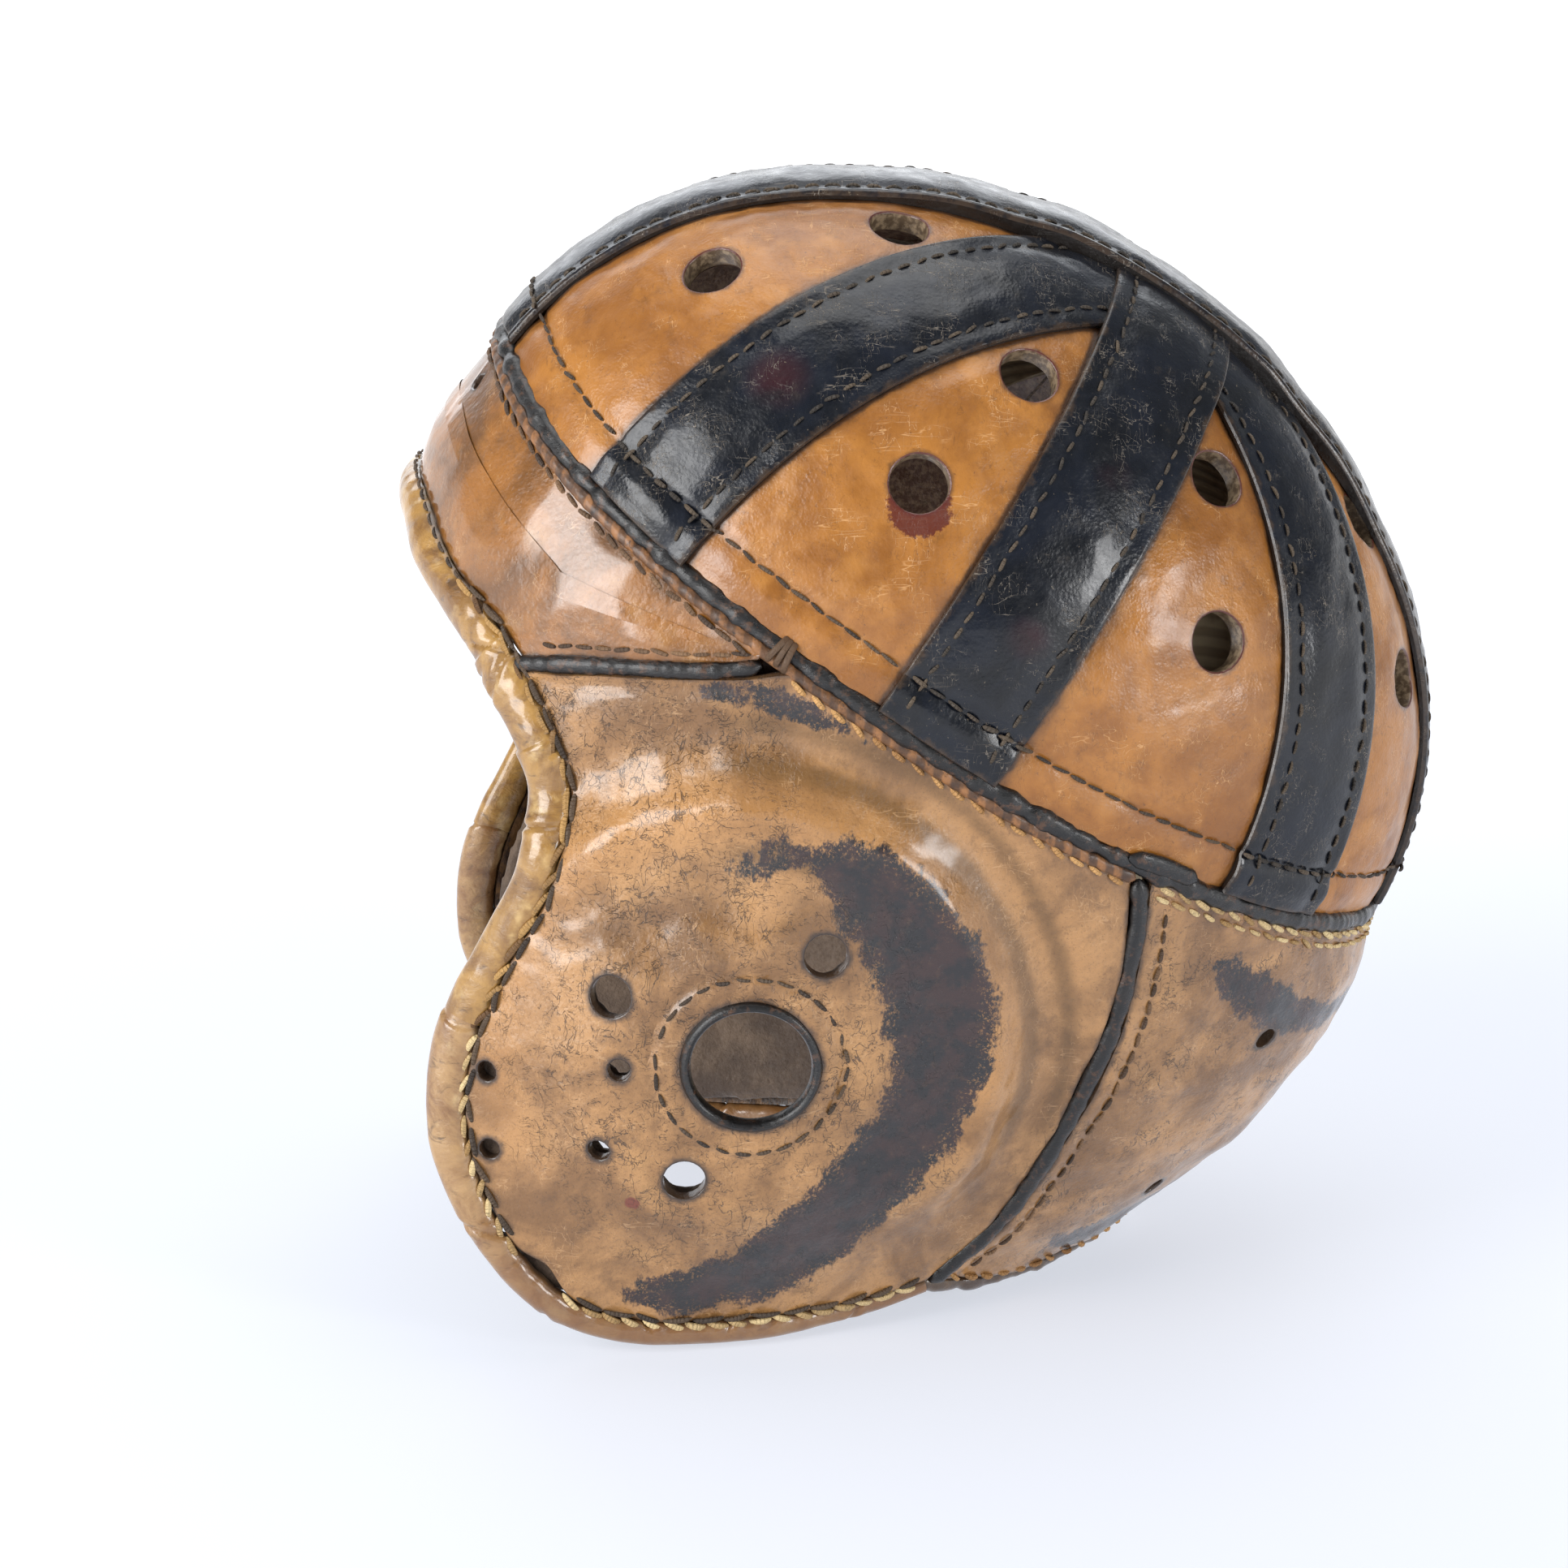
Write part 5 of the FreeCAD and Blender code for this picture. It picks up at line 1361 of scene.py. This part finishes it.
neck_holes = [hole_at((turn, h), 2.6) for a, h in ((146.9, -20.6), (156.6, -66.6))
              for turn in (a, 360 - a)]
places = between(*neck_borders, 1.6, wall)
neck = leather(wall, places, 0.0, PANEL, neck_relief, 0.8, neck_holes, neck_marks)
neck.marks["seam"] = np.minimum(neck.marks["edge"] * 1.2, 9.0)
make("neck_leather", neck, BROWN, stands_for=["neck_panel"], slot="brown_leather")
foot = np.array([(134.3, -109.2)])
path, normals = on_wall(np.concatenate([foot, neck_base - [0, 2.2], foot * [-1, 1] + [360, 0]]),
                        -PANEL / 2)
make("neck_roll", roll(path, normals, 2.0, 73, 0.95), JAW_LEATHER, stands_for=["neck_edge"],
     slot="binding_leather")

# -------------------------------------------------------------------- binding
SECTIONS = np.array([(0, 4.9, 3.3), (0.30, 4.8, 3.2), (0.62, 4.4, 3.1), (0.78, 2.9, 2.9),
                     (1, 2.4, 2.4)])
line = through(BROW_LINE + CHEEK_LINE[1:] + JAW_LINE[1:], 700)
edge_points, edge_normals = on_wall(line, 0.0)
edge_normals[0, 0] = 0.0
ahead = unit(np.gradient(edge_points, axis=0))
ahead[0] = (1, 0, 0)
beyond = unit(np.cross(ahead, edge_normals))
fraction = np.linspace(0, 1, len(line))
run = run_along(edge_points)
half_wide = np.interp(fraction, SECTIONS[:, 0], SECTIONS[:, 1])
half_thick = np.interp(fraction, SECTIONS[:, 0], SECTIONS[:, 2])
WHIP, ROLL_SIDES = 5.6, 36


def edge_index(angle, after=0.0):
    """Sample of the edge line nearest an angle, past a fraction of its length."""
    return int(np.argmin(np.abs(line[:, 0] - angle) + (fraction < after) * 99))


JAW_FROM = run[edge_index(76, 0.4)]


def binding(first, last, seed, laps=()):
    """Padded roll between two samples of the edge line, puckered and wrinkled."""
    part = slice(first, last)
    spots, normals, outward = edge_points[part], edge_normals[part], beyond[part]
    wide, thick, far = half_wide[part], half_thick[part], run[part]
    centres = spots + outward * (wide + 0.1)[:, None] - normals * 1.0
    turn = np.linspace(0, 2 * math.pi, ROLL_SIDES, endpoint=False)
    point = (centres[:, None] + outward[:, None] * (wide[:, None] * np.cos(turn))[..., None]
             + normals[:, None] * (thick[:, None] * np.sin(turn))[..., None])
    way = unit(outward[:, None] * (np.cos(turn) / wide[:, None])[..., None]
               + normals[:, None] * (np.sin(turn) / thick[:, None])[..., None])
    pucker = np.sin(2 * math.pi * far / WHIP)[:, None] * smooth((-np.cos(turn) + 0.3) / 1.0)
    push = 0.1 * pucker + 0.34 * ripple(point, 26, seed) + 0.04 * ripple(point, 8, seed + 1)
    chance = np.random.default_rng(seed)
    for _ in range(int((far[-1] - far[0]) / 24)):
        spot, skew = chance.uniform(far[0], far[-1]), chance.normal(0, 3.0)
        reach = 0.8 * smooth((np.cos(turn - chance.uniform(0, 6.3)) + 0.3) / 1.1)
        gap = far[:, None] - spot - skew * np.cos(turn)
        push = push + reach * (-0.75 * bump_at(gap, 0, 0.7) + 0.35 * bump_at(gap, 1.8, 1.3)
                               + 0.3 * bump_at(gap, -1.8, 1.3))
    for lap in laps:
        gap = far[:, None] - lap - 1.5 * np.sin(turn)
        push = push + 0.65 * smooth(gap / 0.9) * np.exp(-np.maximum(gap, 0) / 14)
    point = point + way * np.clip(push, -0.9, 1.1)[..., None]
    sheet = Sheet()
    seam = np.abs(np.angle(np.exp(1j * (turn - math.pi))))[None, :] * wide[:, None] * 0.8
    # The binding's shade mark paints shade from the low cheek round the jaw; stitches use the same
    # mark for their own tone.
    sheet.add(point.reshape(-1, 3), grid_faces(len(far), ROLL_SIDES, wrap_j=True, flip=True),
              seam=seam.ravel(), edge=9.0,
              tone=np.repeat(smooth((far - JAW_FROM) / 30), ROLL_SIDES))
    for row, order in ((0, 1), (len(far) - 1, -1)):
        sheet.faces.append([row * ROLL_SIDES + k for k in range(ROLL_SIDES)][::order])
    return sheet


splice = int(np.argmin(np.where(fraction < 0.7, np.abs(edge_points[:, 2] - SPLICE), 99)))
laps = [run[edge_index(angle)] for angle in (41.5, 54.0)]
both("brow_binding", binding(0, splice + 3, 81, laps), BROW_LEATHER, "ear_flap",
     slot="binding_leather", stands_for=["brow_binding", "cheek_binding_SIDE"], fill=0.8)
both("jaw_roll", binding(splice - 1, len(line), 83, [run[splice] + 1.0]), JAW_LEATHER,
     "ear_flap", slot="binding_leather", stands_for=["jaw_binding_SIDE", "rear_binding_SIDE"],
     fill=0.8)

# --------------------------------------------------------------------- threads
# Whip stitches along the binding, left out where the leather is torn.
gap_from = run[edge_index(86.5, 0.4)]
torn = (gap_from, gap_from + 14.0)
at_edge = edge_points + edge_normals * 0.35
thick = line[:, 0] > 37
thick[len(line) // 3:] = True
low_part = np.arange(len(line)) > splice
both("cheek_cord", stitches(at_edge + beyond * 0.4, edge_normals, 7.4, WHIP - 7.0, 0.74, 91, 0.2,
                            0.6, [torn], 0.2, thick & ~low_part), BROWN_CORD, "ear_flap")
both("jaw_cord", stitches(at_edge + beyond * 0.4, edge_normals, 5.6, WHIP - 6.4, 0.7, 94, 0.26,
                          0.6, [torn], 0.2, low_part), CREAM_THREAD, "ear_flap")
both("under_cord", stitches(at_edge - beyond * 1.2, edge_normals, 6.4, 0.3, 0.6, 92, -0.06, 0.6,
                            [torn], 0.14, thick), DARK_THREAD, "ear_flap")
both("brow_threads", stitches(at_edge, edge_normals, 3.4, 1.2, 0.42, 93, 0.1, where=~thick),
     DARK_THREAD)


# A stitch is its length, gap, thread radius, seed and slant.
def top_row(start, end, many, below, sheet, *stitch):
    """Stitches in a row below the walls' top, lying on a leather."""
    angles = np.linspace(start, end, many)
    path, normals = laid(*on_wall(np.stack([angles, wall_top(angles) - below], -1)), sheet)
    return stitches(path, normals, *stitch)


temple_row = laid(*on_wall((temple + [0, 4.4])[3:-4]), forehead)
neck_row = laid(*on_wall(neck_seam[3:-3] + [SEAM_TURN + 2.6, 0]), neck)
both("wall_threads", collected([stitches(*temple_row, 4.0, 0.4, 0.46, 101, 0.08),
                                top_row(2, 70.5, 260, 2.6, forehead, 4.4, 0.2, 0.52, 102, 0.12),
                                stitches(*neck_row, 3.6, 0.7, 0.44, 107)]), WALL_THREAD)
foot_row = on_wall(through(neck_base[:31] + [0, 1.2], 120), 0.1)
both("tan_threads", collected([top_row(74, 116, 200, 2.2, side, 4.2, 0.9, 0.58, 104, 0.2),
                               stitches(*foot_row, 4.2, 0.8, 0.6, 108, 0.3)]), TAN_THREAD)
angles = np.linspace(120, 180, 260)
rim_row = on_wall(np.stack([angles, wall_top(angles)], -1), 0.35)
both("cream_threads", collected([stitches(*rim_row, 4.4, 0.4, 0.62, 105, 0.22),
                                 top_row(120, 180, 260, 2.3, neck, 3.6, 1.0, 0.5, 106, 0.1)]),
     CREAM_THREAD)

# Round of stitches about the ear hole, laid on the nearest leather.
angles, heights = np.meshgrid(np.linspace(75, 115, 121), np.linspace(-108, -50, 175))
spots = wall(np.stack([angles, heights], -1))
circle = []
for spot in centre + radial * (EAR_HOLE + 5.7):
    offset = spots - spot
    offset = offset - (offset @ way)[..., None] * way
    circle.append(spots.reshape(-1, 3)[np.argmin(np.linalg.norm(offset, axis=-1))])
circle = np.array(circle)
for _ in range(3):
    circle = (np.roll(circle, 1, 0) + circle + np.roll(circle, -1, 0)) / 3
circle[-1] = circle[0]
ways = np.broadcast_to(way, circle.shape)
both("ear_threads", stitches(circle, ways, 3.7, 0.8, 0.42, 109), DARK_THREAD, "ear_flap")

# --------------------------------------------------------------------- lining
SWELL, CLOTH_FRAMES = 1.6, 20
HEAD = [0.085, 0.118, 1]


def swollen(sheet):
    """Cloth simulation that puffs a pad out towards the head, by SWELL at most."""
    pad = linked("pad_sim", sheet)
    pad.modifiers.new("remesh", "REMESH").mode = "VOXEL"
    pad.modifiers["remesh"].voxel_size = 0.002
    pad.modifiers.new("relax", "SMOOTH").iterations = 4
    graph = bpy.context.evaluated_depsgraph_get()
    fresh = bpy.data.meshes.new_from_object(pad.evaluated_get(graph))
    pad.modifiers.clear()
    pad.data = fresh
    start = np.array([v.co for v in fresh.vertices])
    moved = start
    cloth = pad.modifiers.new("cloth", "CLOTH")
    cloth.settings.use_pressure = True
    cloth.settings.uniform_pressure_force = 4.0
    cloth.settings.effector_weights.gravity = 0.0
    cloth.settings.mass = 0.3
    scene = bpy.context.scene
    for now in range(1, CLOTH_FRAMES + 1):
        scene.frame_set(now)
    graph = bpy.context.evaluated_depsgraph_get()
    result = pad.evaluated_get(graph).to_mesh()
    moved = np.array([v.co for v in result.vertices])
    pad.evaluated_get(graph).to_mesh_clear()
    pad.modifiers.clear()
    scene.frame_set(1)
    push = moved - start
    outward = unit((start - [0, CENTRE_Y * 0.001, 0]) / HEAD * [1, 1, 0])
    toward = np.maximum(np.sum(push * outward, axis=1), 0)
    push = push - outward * toward[:, None]
    long = np.linalg.norm(push, axis=1, keepdims=True)
    push = push * np.minimum(1, SWELL * 0.001 / np.maximum(long, 1e-9))
    result = Sheet()
    result.add((start + push) * 1000, [list(p.vertices) for p in fresh.polygons], rim=9.0)
    bpy.data.objects.remove(pad)
    return result


def pad_sheet(places, holes=()):
    """Felt slab behind the leather, a little thinner than its CAD solid."""
    def lift(flat, edge, run_i, run_j):
        return -0.5 + 0 * edge

    return leather(wall, places, -PANEL - 0.2, 4.2, lift, 1.5, holes)


wide_holes = [(c, w, r + (1.6 if r > 10 else 0.8)) for c, w, r in SIDE_HOLES[:6]]
base, top, front, rear = side_borders()
base[:, 1] -= 5.5 * bump_at(base[:, 0], 90.0, 5)
low_end = np.linspace(1, 0, len(front)) ** 2
front[:, 1] += (base[0, 1] - front[0, 1]) * low_end
rear[:, 1] += (base[-1, 1] - rear[0, 1]) * low_end
side_pad = pad_sheet(between(base, top, front, rear, 3.0, wall), wide_holes)
both("side_lining", swollen(side_pad), LINING, "ear_flap", slot="felt",
     stands_for=["side_pad_SIDE", "ear_pad_SIDE"], fill=0.5, sharp=None)
neck_pad = pad_sheet(between(*neck_borders, 3.0, wall))
make("neck_lining", swollen(neck_pad), FELT, stands_for=["neck_pad"], slot="felt", fill=0.5,
     sharp=None)
brow_pad = pad_sheet(brow_places(58, 100, lambda span: 3.0 + 4.0 * smooth((np.abs(span) - 40) / 6),
                                 2.0, 3.0))
make("forehead_lining", swollen(brow_pad), FELT, stands_for=["forehead_pad"], slot="felt",
     fill=0.5, sharp=None)

# -------------------------------------------------- CAD parts that stay as made
KEPT = {"crown_shell": SHELL, "ridge_packing": SHELL, "sweatband": SWEAT, "web_brow_to_nape": WEB,
        "web_left_front": WEB, "web_left_rear": WEB}
for node, material in KEPT.items():
    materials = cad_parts[node].data.materials
    materials.clear()
    materials.append(material)

# --------------------------------------------------------------- studio, camera
def studio_floor():
    """White sweep that glows though it is no lamp: its glow is dimmer near the object, as painted
    shade, and brightest far from it.
    """
    f = Finish("studio_floor", cad=True)
    far = f.node("VectorMath", "Value", {0: f.place}, operation="LENGTH")
    glow = f.mix(f.span(far, 15.0, 110.0), (196, 200, 209), (255, 255, 255))
    f.put(f.shader, {"Emission Color": glow, "Emission Strength": 1.0})
    return f.done(f.mix(f.noise(0.02, 2.0), (150, 152, 158), (156, 158, 163)), 0.8)


SWEEP = [(6, -0.0006), (9, 0.1), (12, 0.5), (14, 1.2), (15, 2.4)]
sweep = Sheet()
turn = np.linspace(0, 2 * math.pi, 48, endpoint=False)
sweep.add(np.array([(far * math.cos(a), far * math.sin(a), level) for far, level in SWEEP
                    for a in turn]), grid_faces(len(SWEEP), len(turn), wrap_j=True))
sweep.faces.append(list(range(len(turn))))
floor = linked("studio_floor", sweep, 1.0)
floor.data.materials.append(studio_floor())

world = bpy.data.worlds.new("studio")
bpy.context.scene.world = world
world.use_nodes = True
background = world.node_tree.nodes["Background"]
background.inputs["Color"].default_value = (0.90, 0.945, 1.0, 1)
background.inputs["Strength"].default_value = 0.27


def pointed(label, data, place, aim):
    """A lamp or camera at a place, looking along a direction."""
    made = bpy.data.objects.new(label, data)
    bpy.context.scene.collection.objects.link(made)
    made.location = place
    made.rotation_mode = "QUATERNION"
    made.rotation_quaternion = aim.to_track_quat("-Z", "Y")
    return made


def softbox(label, place, target, size, power, colour=(1, 1, 1)):
    light = bpy.data.lights.new(label, "AREA")
    light.shape = "RECTANGLE"
    light.size, light.size_y = size
    light.energy = power
    light.color = colour
    pointed(label, light, place, Vector(target) - Vector(place))


softbox("front_box", (0.80, -1.16, 0.66), (0, -0.03, 0.13), (0.8, 0.95), 21.5)
softbox("rear_box", (0.93, 1.13, 0.48), (0, 0.03, 0.13), (0.35, 0.5), 8)
softbox("top_box", (-0.3, 0.0, 1.6), (0, 0, 0.1), (1.2, 1.2), 12)
softbox("far_box", (-1.3, -0.1, 0.75), (0, 0, 0.1), (1.6, 0.8), 8, (0.93, 0.96, 1.0))

AZIMUTH, ELEVATION, DISTANCE = math.radians(89), math.radians(16.5), 1.1
target = Vector((0, -0.030, 0.1082))
back = Vector((math.sin(AZIMUTH) * math.cos(ELEVATION), -math.cos(AZIMUTH) * math.cos(ELEVATION),
               math.sin(ELEVATION)))
camera = bpy.data.cameras.new("photo_view")
camera.lens = 110.8
camera.sensor_width = 36.0
bpy.context.scene.camera = pointed("photo_view", camera, target + back * DISTANCE, -back)
bpy.context.scene.view_settings.view_transform = "Standard"
